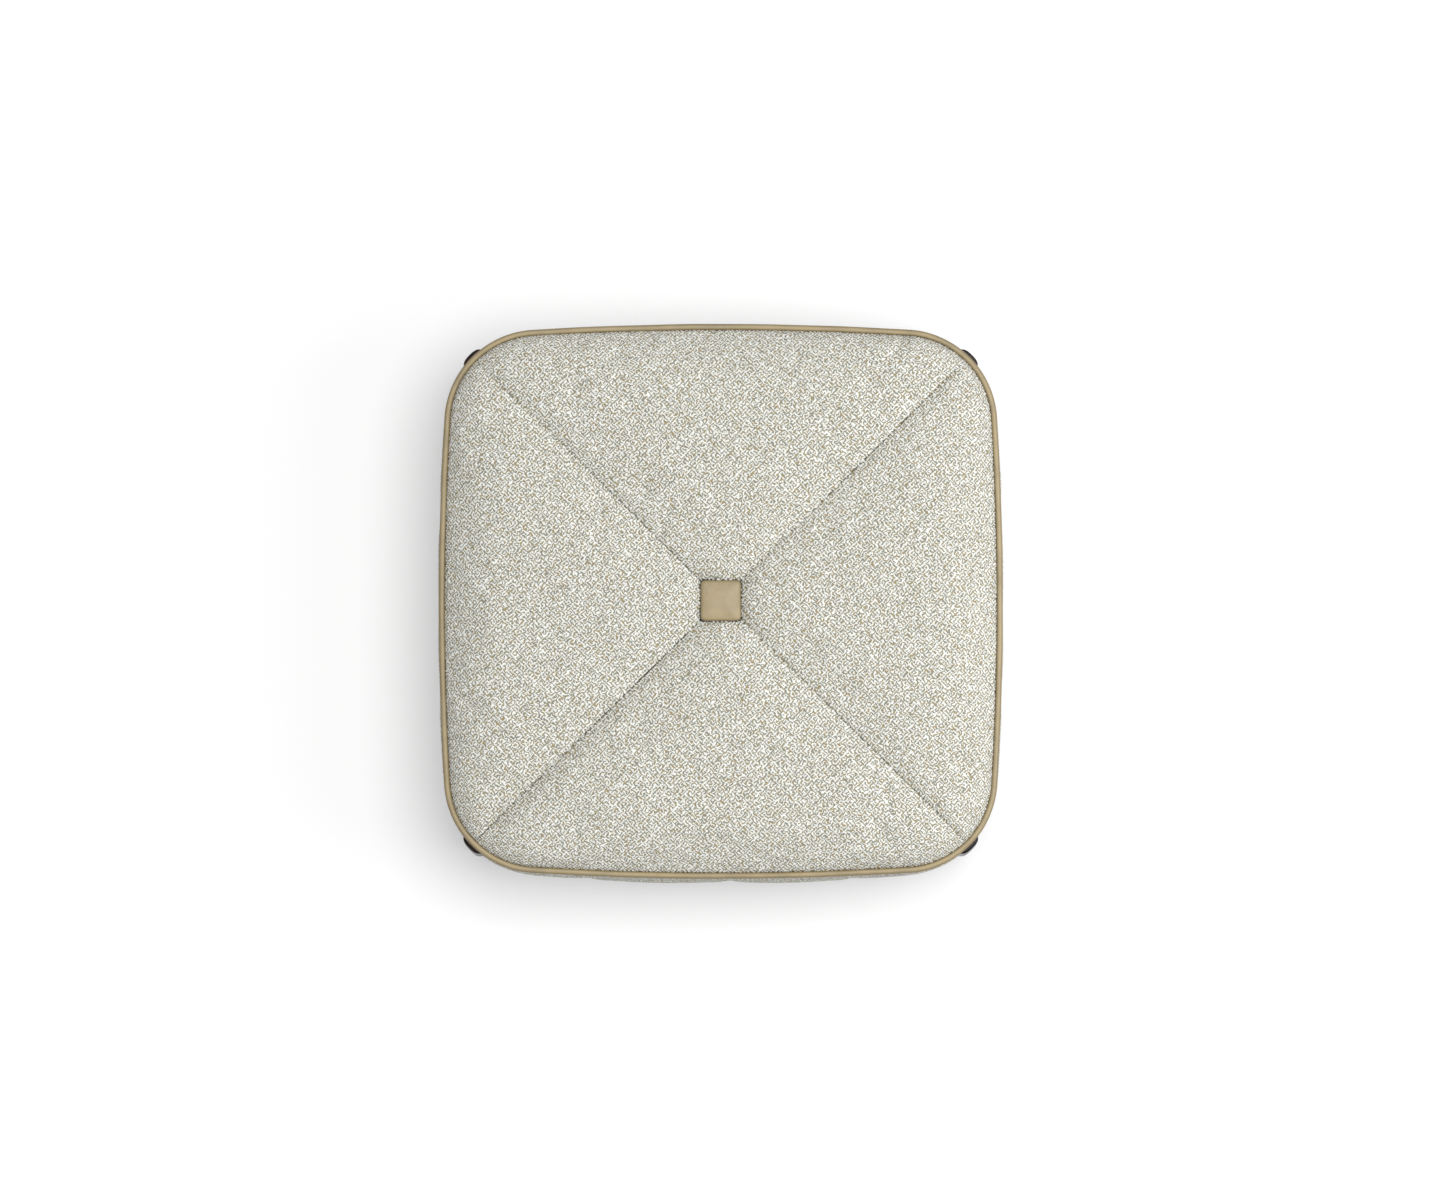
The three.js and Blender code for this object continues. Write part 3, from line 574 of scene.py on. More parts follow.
def fibre_wadding():
    """White polyester fibre, matted and fluffy."""
    net = Net("fibre_wadding")
    place = net.object_coordinates()
    swirl = net.vector("SCALE", net.noise(place, 90, out=1), 0.02, "Scale")
    strands = net.noise(net.vector("ADD", place, swirl), 700, detail=6, roughness=0.7)
    tint = net.mix(strands.ramp(0.35, 0.65), (0.62, 0.62, 0.60), (0.90, 0.90, 0.88))
    return net.finish(Base_Color=tint, Roughness=strands.ramp(0.3, 0.7, 0.98, 0.9), Sheen_Weight=0.3,
                      Normal=net.bump(strands, 0.0012))


def dust_cloth():
    """Black spun-bonded cloth with its grid of welded points."""
    net = Net("dust_cloth")
    place = net.object_coordinates()
    grid = net.mapped(place, (0.0016, 0.0016, 1), 0.4)
    welds = net.cells(grid, 1.0, randomness=0.1, dimensions="2D")["Distance"]
    fibres = net.noise(place, 1500, detail=4)
    tint = net.mix(fibres.ramp(0.3, 0.7), (0.012, 0.012, 0.013), (0.045, 0.045, 0.047))
    return net.finish(Base_Color=tint, Roughness=fibres.ramp(0.3, 0.7, 0.75, 0.95),
                      Normal=net.bump(welds.ramp(0.1, 0.35) + fibres * 0.5, 0.00025))


def twisted_cord():
    """Off-white cotton with a soft, uneven lay."""
    net = Net("twisted_cord")
    place = net.object_coordinates()
    lay = net.noise(net.mapped(place, (1, 0.35, 0.35), 0.6), 1300, detail=3)
    tint = net.mix(lay.ramp(0.35, 0.65), (0.50, 0.45, 0.34), (0.78, 0.74, 0.63))
    return net.finish(Base_Color=tint, Roughness=lay.ramp(0.3, 0.7, 0.95, 0.85),
                      Normal=net.bump(lay, 0.0003))


_made = {}


def finish_named(name):
    """Each material is made once, from the scene's colours, and then shared."""
    colours = bpy.context.scene.seat_pad_colours
    makers = {
        "looped_cloth": lambda: looped_cloth(colours),
        "piping_leather": lambda: trim_leather(colours, "piping_leather", PIPING_SHADE_LEVELS),
        "button_leather": lambda: trim_leather(colours, "button_leather", BUTTON_SHADE_LEVELS),
        "lacquered_wood": lambda: lacquered_wood(colours),
        "beech_across": lambda: beech_wood(colours, 0.0),
        "beech_along": lambda: beech_wood(colours, math.pi / 2),
        "beech_rising": lambda: beech_wood(colours, math.pi / 4),
        "beech_falling": lambda: beech_wood(colours, -math.pi / 4),
        "zinc_plate": lambda: spun_metal((0.62, 0.63, 0.65), "zinc_plate", 0.28),
        "staple_wire": lambda: spun_metal((0.36, 0.36, 0.37), "staple_wire", 0.22),
        "moulded_nylon": moulded_nylon,
        "hessian": lambda: plain_weave("hessian", 0.0014, (0.42, 0.30, 0.16), (0.50, 0.37, 0.21)),
        "elastic": lambda: plain_weave("elastic", 0.0011, (0.03, 0.03, 0.032), (0.012, 0.012, 0.013)),
        "foam": foam_material,
        "wadding": fibre_wadding,
        "dust_cloth": dust_cloth,
        "cord": twisted_cord,
    }
    if name not in _made:
        _made[name] = makers[name]()
    return _made[name]


def repaint(node, finish):
    """Gives a node of the frame a finished material."""
    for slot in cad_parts[node].material_slots:
        slot.material = finish_named(finish)


# ---- The cover's shape ----

CLOTH_INSET = 0.0042  # from the piping's outside to the edge of the top
RIM_LIFT = 0.0008  # the top's edge leaves the piping this far above its middle
SEAM_START = 0.022  # how far in from the piping a seam reaches its full depth
SEAM_FOLD = 0.0045  # how deep the cloth's edge turns down into a seam
SEAM_PULL = {  # depth of each seam, as a multiple of the usual depth
    "back_right": 1.5,
    "back_left": 1.2,
    "front_left": 2.5,
    "front_right": 0.9,
}
BUTTON_SQUARENESS = 8  # power of the superellipse round the button
BUTTON_LIFT = 0.0015  # the leather domes this far above the moulded shape
BUTTON_HOLD = 0.0015  # the cover is tied down this close to the button
TURNED_EDGE_WIDTH = 0.0011  # of the crease along a seam
ON_THE_SPOT = 1e-5  # two places this close are the same


def cover_heights(sizes, rim, seam, button, pull):
    """Height of the cover from its distances to the piping, a diagonal seam and the button's edge."""
    edge = sizes.crown * (1 - np.exp(-rim / sizes.edge_roll))
    dome = sizes.dome * (1 - (1 - np.clip(rim / HALF_DEPTH, 0, 1)) ** 2)
    away_from_rim = np.clip(rim / SEAM_START, 0, 1)
    valley = sizes.seam_depth * pull * np.exp(-seam / sizes.seam_reach) * away_from_rim
    tuft = sizes.tuft_depth * np.exp(-np.clip(button, 0, None) / sizes.tuft_reach)
    return PIPING_LEVEL + RIM_LIFT + edge + dome - valley - tuft


class CoverPlan:
    """Where a point of the unit square lands on the pad: its rings are smaller copies of the outline."""

    def __init__(self, sizes, inset):
        self.outline = Outline(sizes, inset)
        tip = self.outline.point(math.pi / 4)
        self.seam = tip.normalized()
        self.button_half = sizes.button_half

    def place(self, u, v):
        """(point, distance to the piping, share along the side, outward normal) for u and v from -1 to 1."""
        ring = max(abs(u), abs(v))
        if ring < 1e-9:
            return Vector((0, 0, 0)), HALF_DEPTH, 0.0, Vector((0, 0, 0))
        if abs(u) >= abs(v):
            quarter, share = (0 if u > 0 else 2), v / u
        else:
            quarter, share = (1 if v > 0 else 3), -u / v
        angle = self.outline.side_angle(quarter, share)
        edge = self.outline.point(angle)
        normal = Vector((math.cos(angle), math.sin(angle), 0))
        spread = ring * (1 + 0.10 * (1 - ring))
        return edge * spread, (1 - spread) * edge.dot(normal), share, normal

    def distances(self, xy):
        """Distances of plan points to the nearer diagonal and the button, and how tight that seam is."""
        x, y = np.abs(xy[:, 0]), np.abs(xy[:, 1])
        seam = np.abs(x * self.seam.y - y * self.seam.x)
        power = BUTTON_SQUARENESS
        button = (x ** power + y ** power) ** (1 / power) - self.button_half
        right, back = ((1 + np.tanh(xy[:, i] / 0.02)) / 2 for i in (0, 1))
        tight_right = SEAM_PULL["back_right"] * back + SEAM_PULL["front_right"] * (1 - back)
        tight_left = SEAM_PULL["back_left"] * back + SEAM_PULL["front_left"] * (1 - back)
        return seam, button, tight_right * right + tight_left * (1 - right)


def slack(sizes, rim):
    """How much further it is over the rolled edge, from the flat middle out to here, than it is in plan."""
    step = 0.0005
    steps = np.arange(0.0, 0.12, step)
    slope = sizes.crown / sizes.edge_roll * np.exp(-steps / sizes.edge_roll)
    extra = (np.sqrt(1 + slope ** 2) - 1) * step
    beyond = np.cumsum(extra[::-1])[::-1]
    return np.interp(rim, steps, beyond)


def stored(mesh, name):
    """A stored value per vertex as an array."""
    values = np.empty(len(mesh.vertices), np.float32)
    mesh.attributes[name].data.foreach_get("value", values)
    return values.astype(float)


def store(mesh, name, values):
    """Keeps a value per vertex for the materials to read."""
    attribute = mesh.attributes.new(name, "FLOAT", "POINT")
    attribute.data.foreach_set("value", np.asarray(values, np.float32))


def inflate(piece, held, pressure, frames=20):
    """Swells the cloth between its held points by simulation, and keeps the result."""
    group = piece.vertex_groups.new(name="held")
    group.add(held, 1.0, "REPLACE")
    cloth = piece.modifiers.new("Swell", "CLOTH")
    settings = cloth.settings
    settings.quality = 6
    settings.mass = 0.25
    settings.air_damping = 4.0
    settings.tension_stiffness = settings.compression_stiffness = 28
    settings.shear_stiffness = 12
    settings.bending_stiffness = 2.5
    settings.shrink_min = -0.004
    settings.use_pressure = True
    settings.uniform_pressure_force = pressure
    settings.vertex_group_mass = "held"
    settings.effector_weights.gravity = 0
    cloth.collision_settings.use_collision = False
    cloth.point_cache.frame_start, cloth.point_cache.frame_end = 1, frames
    for number in range(1, frames + 1):
        bpy.context.scene.frame_set(number)
    settle(piece)
    piece.vertex_groups.clear()
    bpy.context.scene.frame_set(1)


def limit_swelling(piece, rest, most):
    """Keeps each point within a distance of where it was before the swelling."""
    swollen = positions(piece.data)
    moved = swollen - rest
    far = np.linalg.norm(moved, axis=1, keepdims=True)
    capped = rest + moved * np.minimum(1, most / np.maximum(far, 1e-9))
    piece.data.vertices.foreach_set("co", capped.ravel())
    piece.data.update()


def refine(piece):
    """Applies smooth subdivision to the cloth."""
    subdivide(piece, 2).uv_smooth = "NONE"
    settle(piece)


def unevenness(points, scale, seed):
    """Smooth noise at each point, about -1 to 1."""
    shift = Vector((seed * 7.3, seed * 3.1, seed * 5.7))
    return np.array([noise.noise(Vector(p) / scale + shift) for p in points])


def loop_pile(points, seeds):
    """How far the loops stand up at each point, about -1 to 1: single loops and small groups of them."""
    fine, broad = seeds
    return unevenness(points, 0.0021, fine) * 0.6 + unevenness(points, 0.0046, broad) * 0.4


class SEATPAD_OT_top(bpy.types.Operator):
    """Sews and swells the four top panels"""

    bl_idname = "seatpad.top"
    bl_label = "Top panels"

    def execute(self, context):
        sizes = context.scene.seat_pad_sizes
        plan = CoverPlan(sizes, CLOTH_INSET)
        cover, held = self.sew(sizes, plan)
        rest = positions(cover.data)
        inflate(cover, held, pressure=1.2)
        limit_swelling(cover, rest, 0.0028)
        refine(cover)
        self.crease(cover, sizes, plan)
        self.part(cover)
        return {"FINISHED"}

    @staticmethod
    def sew(sizes, plan):
        """The whole top as one grid, with the points that the seams, the piping and the button hold."""
        bm = bmesh.new()
        bmesh.ops.create_grid(bm, x_segments=sizes.grid, y_segments=sizes.grid, size=1.0)
        uv = bm.loops.layers.uv.new(CLOTH_UV)
        rim_layer = bm.verts.layers.float.new("rim")
        on_seam = {}
        flat = {}
        for vert in bm.verts:
            point, rim, share, normal = plan.place(vert.co.x, vert.co.y)
            flat[vert] = (point + normal * float(slack(sizes, rim))).xy
            on_seam[vert] = abs(abs(share) - 1) < 1e-4 or rim < ON_THE_SPOT
            vert[rim_layer] = rim
            vert.co = point
        split = {e for e in bm.edges if all(on_seam[v] for v in e.verts)}
        cross = []
        for face in bm.faces:
            pair = [v for v in face.verts if on_seam[v]]
            if len(pair) >= 2 and not split.intersection(face.edges):
                cross.append(pair[:2])
        for pair in cross:
            bmesh.ops.connect_vert_pair(bm, verts=pair)
        for face in bm.faces:
            for loop in face.loops:
                loop[uv].uv = flat[loop.vert]
        xy = np.array([v.co[:2] for v in bm.verts])
        rims = np.array([v[rim_layer] for v in bm.verts])
        seam, button, pull = plan.distances(xy)
        for vert, z in zip(bm.verts, cover_heights(sizes, rims, seam, button, pull)):
            vert.co.z = z
        tied = (rims < ON_THE_SPOT) | (seam < ON_THE_SPOT) | (button < BUTTON_HOLD)
        held = np.flatnonzero(tied).tolist()
        cover = finish_mesh(bm, "cover", finish_named("looped_cloth"), outward=False)
        return cover, held

    @staticmethod
    def crease(cover, sizes, plan):
        """Turns the cloth's edges down at the seams, the piping and the button, and roughens the loops. It
        also stores each point's distance to these creases, which the cloth's colour turns into painted
        shade.
        """
        mesh = cover.data
        points = positions(mesh)
        seam, button, pull = plan.distances(points[:, :2])
        rim = stored(mesh, "rim")
        # Painted shade along the seams: the line darkens more where a seam pulls deeper.
        thread = seam * 1.7 + 0.00085 - 0.00037 * pull
        store(mesh, "crease", np.minimum(np.minimum(rim - 0.0003, np.abs(button) - 0.0003), thread))
        tug = unevenness(points, 0.0034, 3)
        seam_crease = sizes.seam_roll * np.exp(-seam / TURNED_EDGE_WIDTH) * np.clip(rim / 0.010, 0, 1)
        rim_crease = (0.0021 + 0.0008 * tug) * np.exp(-rim / 0.0008)
        button_crease = 0.0022 * np.exp(-np.abs(button) / 0.0016) + 0.0015 * (button < 0)
        loops = sizes.loop_relief * loop_pile(points, (1, 2))
        points[:, 2] += loops - seam_crease - rim_crease - button_crease
        mesh.vertices.foreach_set("co", points.ravel())
        mesh.update()

    @staticmethod
    def part(cover):
        """Cuts the cover along its seams into four panels and turns each panel's edge down."""
        for quarter, side in enumerate(SIDES):
            bm = bmesh.new()
            bm.from_mesh(cover.data)
            facing = quarter_turn(-quarter)
            ratio = HALF_DEPTH / HALF_WIDTH if quarter % 2 == 0 else HALF_WIDTH / HALF_DEPTH
            away = []
            for face in bm.faces:
                local = facing @ face.calc_center_median()
                if local.x * ratio < abs(local.y):
                    away.append(face)
            bmesh.ops.delete(bm, geom=away, context="FACES")
            border = [e for e in bm.edges if e.is_boundary]
            folded = bmesh.ops.extrude_edge_only(bm, edges=border)["geom"]
            verts = [g for g in folded if isinstance(g, bmesh.types.BMVert)]
            bmesh.ops.translate(bm, vec=(0, 0, -SEAM_FOLD), verts=verts)
            panel = finish_mesh(bm, f"cloth_top_{side}", finish_named("looped_cloth"), outward=False)
            attach(panel, "boucle", f"top_panel_{side}")
        bpy.data.objects.remove(cover)


BAND_TOP = PIPING_LEVEL - 0.0012
BAND_UNDERSIDE = FRAME_BOTTOM - 0.0016
BAND_TURN = BAND_UNDERSIDE + 0.004  # where the band starts to turn under the frame
LEG_HALF = (LEG_HIGH.x - LEG_LOW.x) / 2


class SEATPAD_OT_bands(bpy.types.Operator):
    """Sews and swells the four side bands"""

    bl_idname = "seatpad.bands"
    bl_label = "Side bands"

    def execute(self, context):
        sizes = context.scene.seat_pad_sizes
        for quarter, side in enumerate(SIDES):
            band, held = self.sew(sizes, quarter)
            rest = positions(band.data)
            inflate(band, held, pressure=1.6)
            limit_swelling(band, rest, 0.003)
            refine(band)
            self.roughen(band, sizes, quarter)
            band.name = band.data.name = f"cloth_band_{side}"
            attach(band, "boucle", f"side_band_{side}")
        return {"FINISHED"}

    @staticmethod
    def swell(share):
        """How full the band is, from 0 to 1, at a share of the way down it."""
        return math.sin(math.pi * min(1, max(0, share))) ** 0.8

    @classmethod
    def profile(cls, bulge):
        """(inset, height) from under the piping, down the swell, round the rail and under the frame."""
        flat = 0.0034
        rows = 20
        line = []
        for i in range(rows + 1):
            t = i / rows
            line.append((flat - bulge * cls.swell(t), BAND_TOP + (BAND_TURN - BAND_TOP) * t))
        line += [(0.0046, BAND_UNDERSIDE + 0.0012), (0.0072, BAND_UNDERSIDE)]
        line += [(0.0072 + 0.0032 * i, BAND_UNDERSIDE) for i in range(1, 5)]
        return line

    @classmethod
    def sew(cls, sizes, quarter):
        """One band as a sheet swept along its side, cut to stop short of the legs."""
        outline = Outline(sizes)
        half = outline.halves[quarter % 2]
        line = cls.profile(sizes.front_bulge if SIDES[quarter] == "front" else sizes.band_bulge)
        reach = math.pi / 4 - (LEG_HALF - 0.0012) / sizes.corner_radius
        bm = bmesh.new()
        down = bm.verts.layers.float.new("down")
        profile = strip(bm, [(half - inset, 0, z) for inset, z in line])
        run = 0.0
        for i, vert in enumerate(profile[:len(line)]):
            run += (vert.co - profile[i - 1].co).length if i else 0.0
            vert[down] = run
        sweep_side(bm, profile, outline, quarter, step=0.0042, reach=reach)
        if SIDES[quarter] == "front":
            cls.ease_ends(bm, sizes)
        bmesh.ops.recalc_face_normals(bm, faces=bm.faces)
        turn_out(bm)
        sort_by_place(bm)
        uv = bm.loops.layers.uv.new(CLOTH_UV)
        facing = quarter_turn(-quarter)
        for face in bm.faces:
            for loop in face.loops:
                along = outline.along(quarter, facing @ loop.vert.co)
                loop[uv].uv = (along + quarter * 0.7, 0.5 - loop.vert[down])
        sideways = [abs((facing @ vert.co).y) for vert in bm.verts]
        end = max(sideways) - 0.004
        held = []
        for i, vert in enumerate(bm.verts):
            z = vert.co.z
            if sideways[i] > end or z > PIPING_LEVEL - 0.002 or z < FRAME_BOTTOM + 0.002:
                held.append(i)
        return finish_mesh(bm, f"band_{quarter}", finish_named("looped_cloth"), outward=False), held

    @classmethod
    def ease_ends(cls, bm, sizes):
        """The fuller front band comes back to the others' fullness towards its two corners."""
        for vert in bm.verts:
            taper = min(1, max(0, (abs(vert.co.x) - 0.10) / 0.07))
            share = (BAND_TOP - vert.co.z) / (BAND_TOP - BAND_TURN)
            vert.co.y += (sizes.front_bulge - sizes.band_bulge) * cls.swell(share) * taper

    @staticmethod
    def roughen(band, sizes, quarter):
        """Roughens the loops."""
        mesh = band.data
        points = positions(mesh)
        normals = np.empty(len(points) * 3)
        mesh.vertex_normals.foreach_get("vector", normals)
        loops = sizes.loop_relief * loop_pile(points, (4, 5 + quarter))
        points += normals.reshape(-1, 3) * loops[:, None]
        mesh.vertices.foreach_set("co", points.ravel())
        mesh.update()
        # A crease distance far from any crease, so the bands get none of the painted crease shade.
        store(mesh, "crease", np.full(len(points), 0.01))


def sort_by_place(bm):
    """Numbers the mesh's parts from the bottom up, because the swelling depends a little on their order."""

    def place(part):
        at = part.co if isinstance(part, bmesh.types.BMVert) else sum((v.co for v in part.verts), Vector())
        return round(at.z, 6), round(at.x, 6), round(at.y, 6)

    for parts in (bm.verts, bm.edges, bm.faces):
        ranks = {part: rank for rank, part in enumerate(sorted(parts, key=place))}
        parts.sort(key=ranks.get)
        parts.index_update()


def turn_out(bm):
    """Reverses the faces if most of them look towards the pad's middle."""
    outwards = sum(f.normal.dot(Vector((*f.calc_center_median().xy, 0))) * f.calc_area() for f in bm.faces)
    if outwards < 0:
        bmesh.ops.reverse_faces(bm, faces=bm.faces)


class SEATPAD_OT_piping(bpy.types.Operator):
    """Runs the leather piping round the edge"""

    bl_idname = "seatpad.piping"
    bl_label = "Piping"

    def execute(self, context):
        sizes = context.scene.seat_pad_sizes
        outline = Outline(sizes)
        bm = bmesh.new()
        for quarter in range(4):
            centre = Vector((outline.halves[quarter % 2] - sizes.piping / 2, 0, PIPING_LEVEL))
            section = ring_section(bm, centre, sizes.piping / 2, 16)
            sweep_side(bm, section, outline, quarter, step=0.0017)
        bmesh.ops.remove_doubles(bm, verts=bm.verts, dist=2e-5)
        for vert in bm.verts:
            self.settle_leather(vert, sizes)
        piece = finish_mesh(bm, "leather_piping", finish_named("piping_leather"))
        attach(piece, "trim_leather", "piping_leather")
        repaint("piping_cord", "cord")
        return {"FINISHED"}

    @staticmethod
    def settle_leather(vert, sizes):
        """Leather folded over a cord is never quite even: it thickens and thins, and wanders a little."""
        place = vert.co.copy()
        middle_line = Vector((place.x, place.y, PIPING_LEVEL))
        swell = noise.noise(middle_line / 0.021) * 0.00013 + noise.noise(middle_line / 0.0058) * 0.00006
        wander = noise.noise(middle_line / 0.045 + Vector((4, 2, 9))) * 0.00028
        outward = middle_line.copy()
        outward.z = 0
        outward.normalize()
        vert.co += outward * wander + Vector((0, 0, place.z - PIPING_LEVEL)) * (swell / (sizes.piping / 2))


def superellipse(bm, half, power, segments):
    """A ring in the XY plane between a circle and a square."""
    verts = bmesh.ops.create_circle(bm, segments=segments, radius=half)["verts"]
    for vert in verts:
        x, y = abs(vert.co.x) / half, abs(vert.co.y) / half
        vert.co *= 1 / (x ** power + y ** power) ** (1 / power)
    return in_order(e for v in verts for e in v.link_edges)


def rise(bm, ring, levels, first_half):
    """Extrudes a ring through (half size, height) levels and closes both ends."""
    verts = in_order(v for e in ring for v in e.verts)
    half, height = levels[0]
    bmesh.ops.scale(bm, vec=(half / first_half, half / first_half, 1), verts=verts)
    bmesh.ops.translate(bm, vec=(0, 0, height), verts=verts)
    bottom = ring
    for next_half, next_height in levels[1:]:
        made = bmesh.ops.extrude_edge_only(bm, edges=ring)["geom"]
        verts = [g for g in made if isinstance(g, bmesh.types.BMVert)]
        ring = [g for g in made if isinstance(g, bmesh.types.BMEdge)]
        bmesh.ops.scale(bm, vec=(next_half / half, next_half / half, 1), verts=verts)
        bmesh.ops.translate(bm, vec=(0, 0, next_height - height), verts=verts)
        half, height = next_half, next_height
    for edges in (bottom, ring):
        bmesh.ops.contextual_create(bm, geom=edges)
    return ring


class SEATPAD_OT_button(bpy.types.Operator):
    """Covers and sets the square leather button"""

    bl_idname = "seatpad.button"
    bl_label = "Button"

    def execute(self, context):
        sizes = context.scene.seat_pad_sizes
        half = sizes.button_half
        low, high = BUTTON_LOW.z, BUTTON_HIGH.z + BUTTON_LIFT
        tall = high - low
        shoulder = [(0.88, 0.0), (0.965, 0.18), (0.995, 0.36), (1.0, 0.5), (0.985, 0.63), (0.955, 0.72)]
        rings = (0.91, 0.84, 0.74, 0.62, 0.48, 0.34, 0.20, 0.08)
        dome = [(share, 1 - 0.24 * share ** 2.6) for share in rings]
        levels = [(half * share, low + tall * up) for share, up in shoulder + dome]
        bm = bmesh.new()
        rise(bm, superellipse(bm, half, 11, 96), levels, half)
        for vert in bm.verts:
            vert.co.z += noise.noise(vert.co / 0.011) * 0.00022
        piece = finish_mesh(bm, "leather_button", finish_named("button_leather"))
        subdivide(piece, 1)
        attach(piece, "trim_leather", "button_leather")
        repaint("button_core", "moulded_nylon")
        repaint("button_anchor", "moulded_nylon")
        repaint("button_twine", "cord")
        return {"FINISHED"}


class SEATPAD_OT_legs(bpy.types.Operator):
    """Turns and lacquers the four corner legs"""

    bl_idname = "seatpad.legs"
    bl_label = "Legs"

    def execute(self, context):
        for corner, (x, y) in CORNERS.items():
            low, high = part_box(f"leg_{corner}")
            top_half = 0.0115
            foot_half = 0.009
            edge = 0.0014
            levels = [
                (foot_half - edge, low.z),
                (foot_half - edge * 0.3, low.z + edge * 0.35),
                (foot_half, low.z + edge),
                (foot_half + 0.0002, low.z + 0.008),
                (top_half - 0.0002, FRAME_BOTTOM - 0.006),
                (top_half, FRAME_BOTTOM),
                (top_half, high.z - edge),
                (top_half - edge * 0.3, high.z - edge * 0.35),
                (top_half - edge, high.z),
            ]
            bm = bmesh.new()
            rise(bm, superellipse(bm, top_half, 3, 48), levels, top_half)
            turn = math.atan2(y, x)
            bmesh.ops.rotate(bm, cent=(0, 0, 0), matrix=Matrix.Rotation(turn, 3, "Z"), verts=bm.verts)
            centre = (low + high) / 2
            bmesh.ops.translate(bm, vec=(centre.x, centre.y, 0), verts=bm.verts)
            piece = finish_mesh(bm, f"lacquered_leg_{corner}", finish_named("lacquered_wood"))
            subdivide(piece, 1)
            attach(piece, "dark_wood", f"leg_{corner}")
        return {"FINISHED"}


class SEATPAD_OT_glides(bpy.types.Operator):
    """Turns the levelling glides under the legs"""

    bl_idname = "seatpad.glides"
    bl_label = "Glides"

    def execute(self, context):
        for corner in CORNERS:
            low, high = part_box(f"glide_{corner}")
            base = 0.009
            stem = 0.003
            tall = 0.005
            round_off = 0.0009
            outline = [
                (0, 0), (base - 0.0035, 0), (base - 0.003, 0.0003), (base - 0.0022, 0),
                (base - round_off, 0), (base - round_off * 0.3, round_off * 0.3), (base, round_off),
                (base, tall - round_off), (base - round_off * 0.3, tall - round_off * 0.3),
                (base - round_off, tall), (stem + 0.001, tall), (stem, tall + 0.0006),
            ]
            turns = 16
            pitch = (high.z - low.z - tall - 0.003) / turns
            for i in range(turns):
                z = tall + 0.001 + pitch * i
                outline += [(stem, z), (stem - 0.0004, z + pitch / 2)]
            outline += [(stem - 0.0003, high.z - low.z - 0.0006), (0, high.z - low.z)]
            bm = bmesh.new()
            profile = strip(bm, [(r, 0, z + low.z) for r, z in outline])
            bmesh.ops.spin(bm, geom=profile, cent=(0, 0, 0), axis=(0, 0, 1), angle=2 * math.pi, steps=40,
                           use_merge=True)
            bmesh.ops.remove_doubles(bm, verts=bm.verts, dist=1e-6)
            centre = (low + high) / 2
            bmesh.ops.translate(bm, vec=(centre.x, centre.y, 0), verts=bm.verts)
            piece = finish_mesh(bm, f"nylon_glide_{corner}", finish_named("moulded_nylon"))
            attach(piece, "nylon", f"glide_{corner}", body=f"glide_{corner}_body")
        return {"FINISHED"}


class SEATPAD_OT_frame(bpy.types.Operator):
    """Finishes the rails, corner blocks and fixings"""

    bl_idname = "seatpad.frame"
    bl_label = "Frame and fixings"

    def execute(self, context):
        for quarter, side in enumerate(SIDES):
            repaint(f"rail_{side}", "beech_across" if quarter % 2 else "beech_along")
        for corner, (x, y) in CORNERS.items():
            repaint(f"corner_block_{corner}", "beech_falling" if x * y > 0 else "beech_rising")
            for fixing in ("hanger_bolt", "bolt_washer", "bolt_nut"):
                repaint(f"{fixing}_{corner}", "zinc_plate")
            for number in (1, 2):
                repaint(f"block_screw_{corner}_{number}", "zinc_plate")
        return {"FINISHED"}


class SEATPAD_OT_suspension(bpy.types.Operator):
    """Finishes the webbing and the decking cloth"""

    bl_idname = "seatpad.suspension"
    bl_label = "Webbing and decking"

    def execute(self, context):
        for number in (1, 2, 3):
            repaint(f"webbing_across_{number}", "elastic")
            repaint(f"webbing_lengthways_{number}", "elastic")
        repaint("decking_cloth", "hessian")
        return {"FINISHED"}


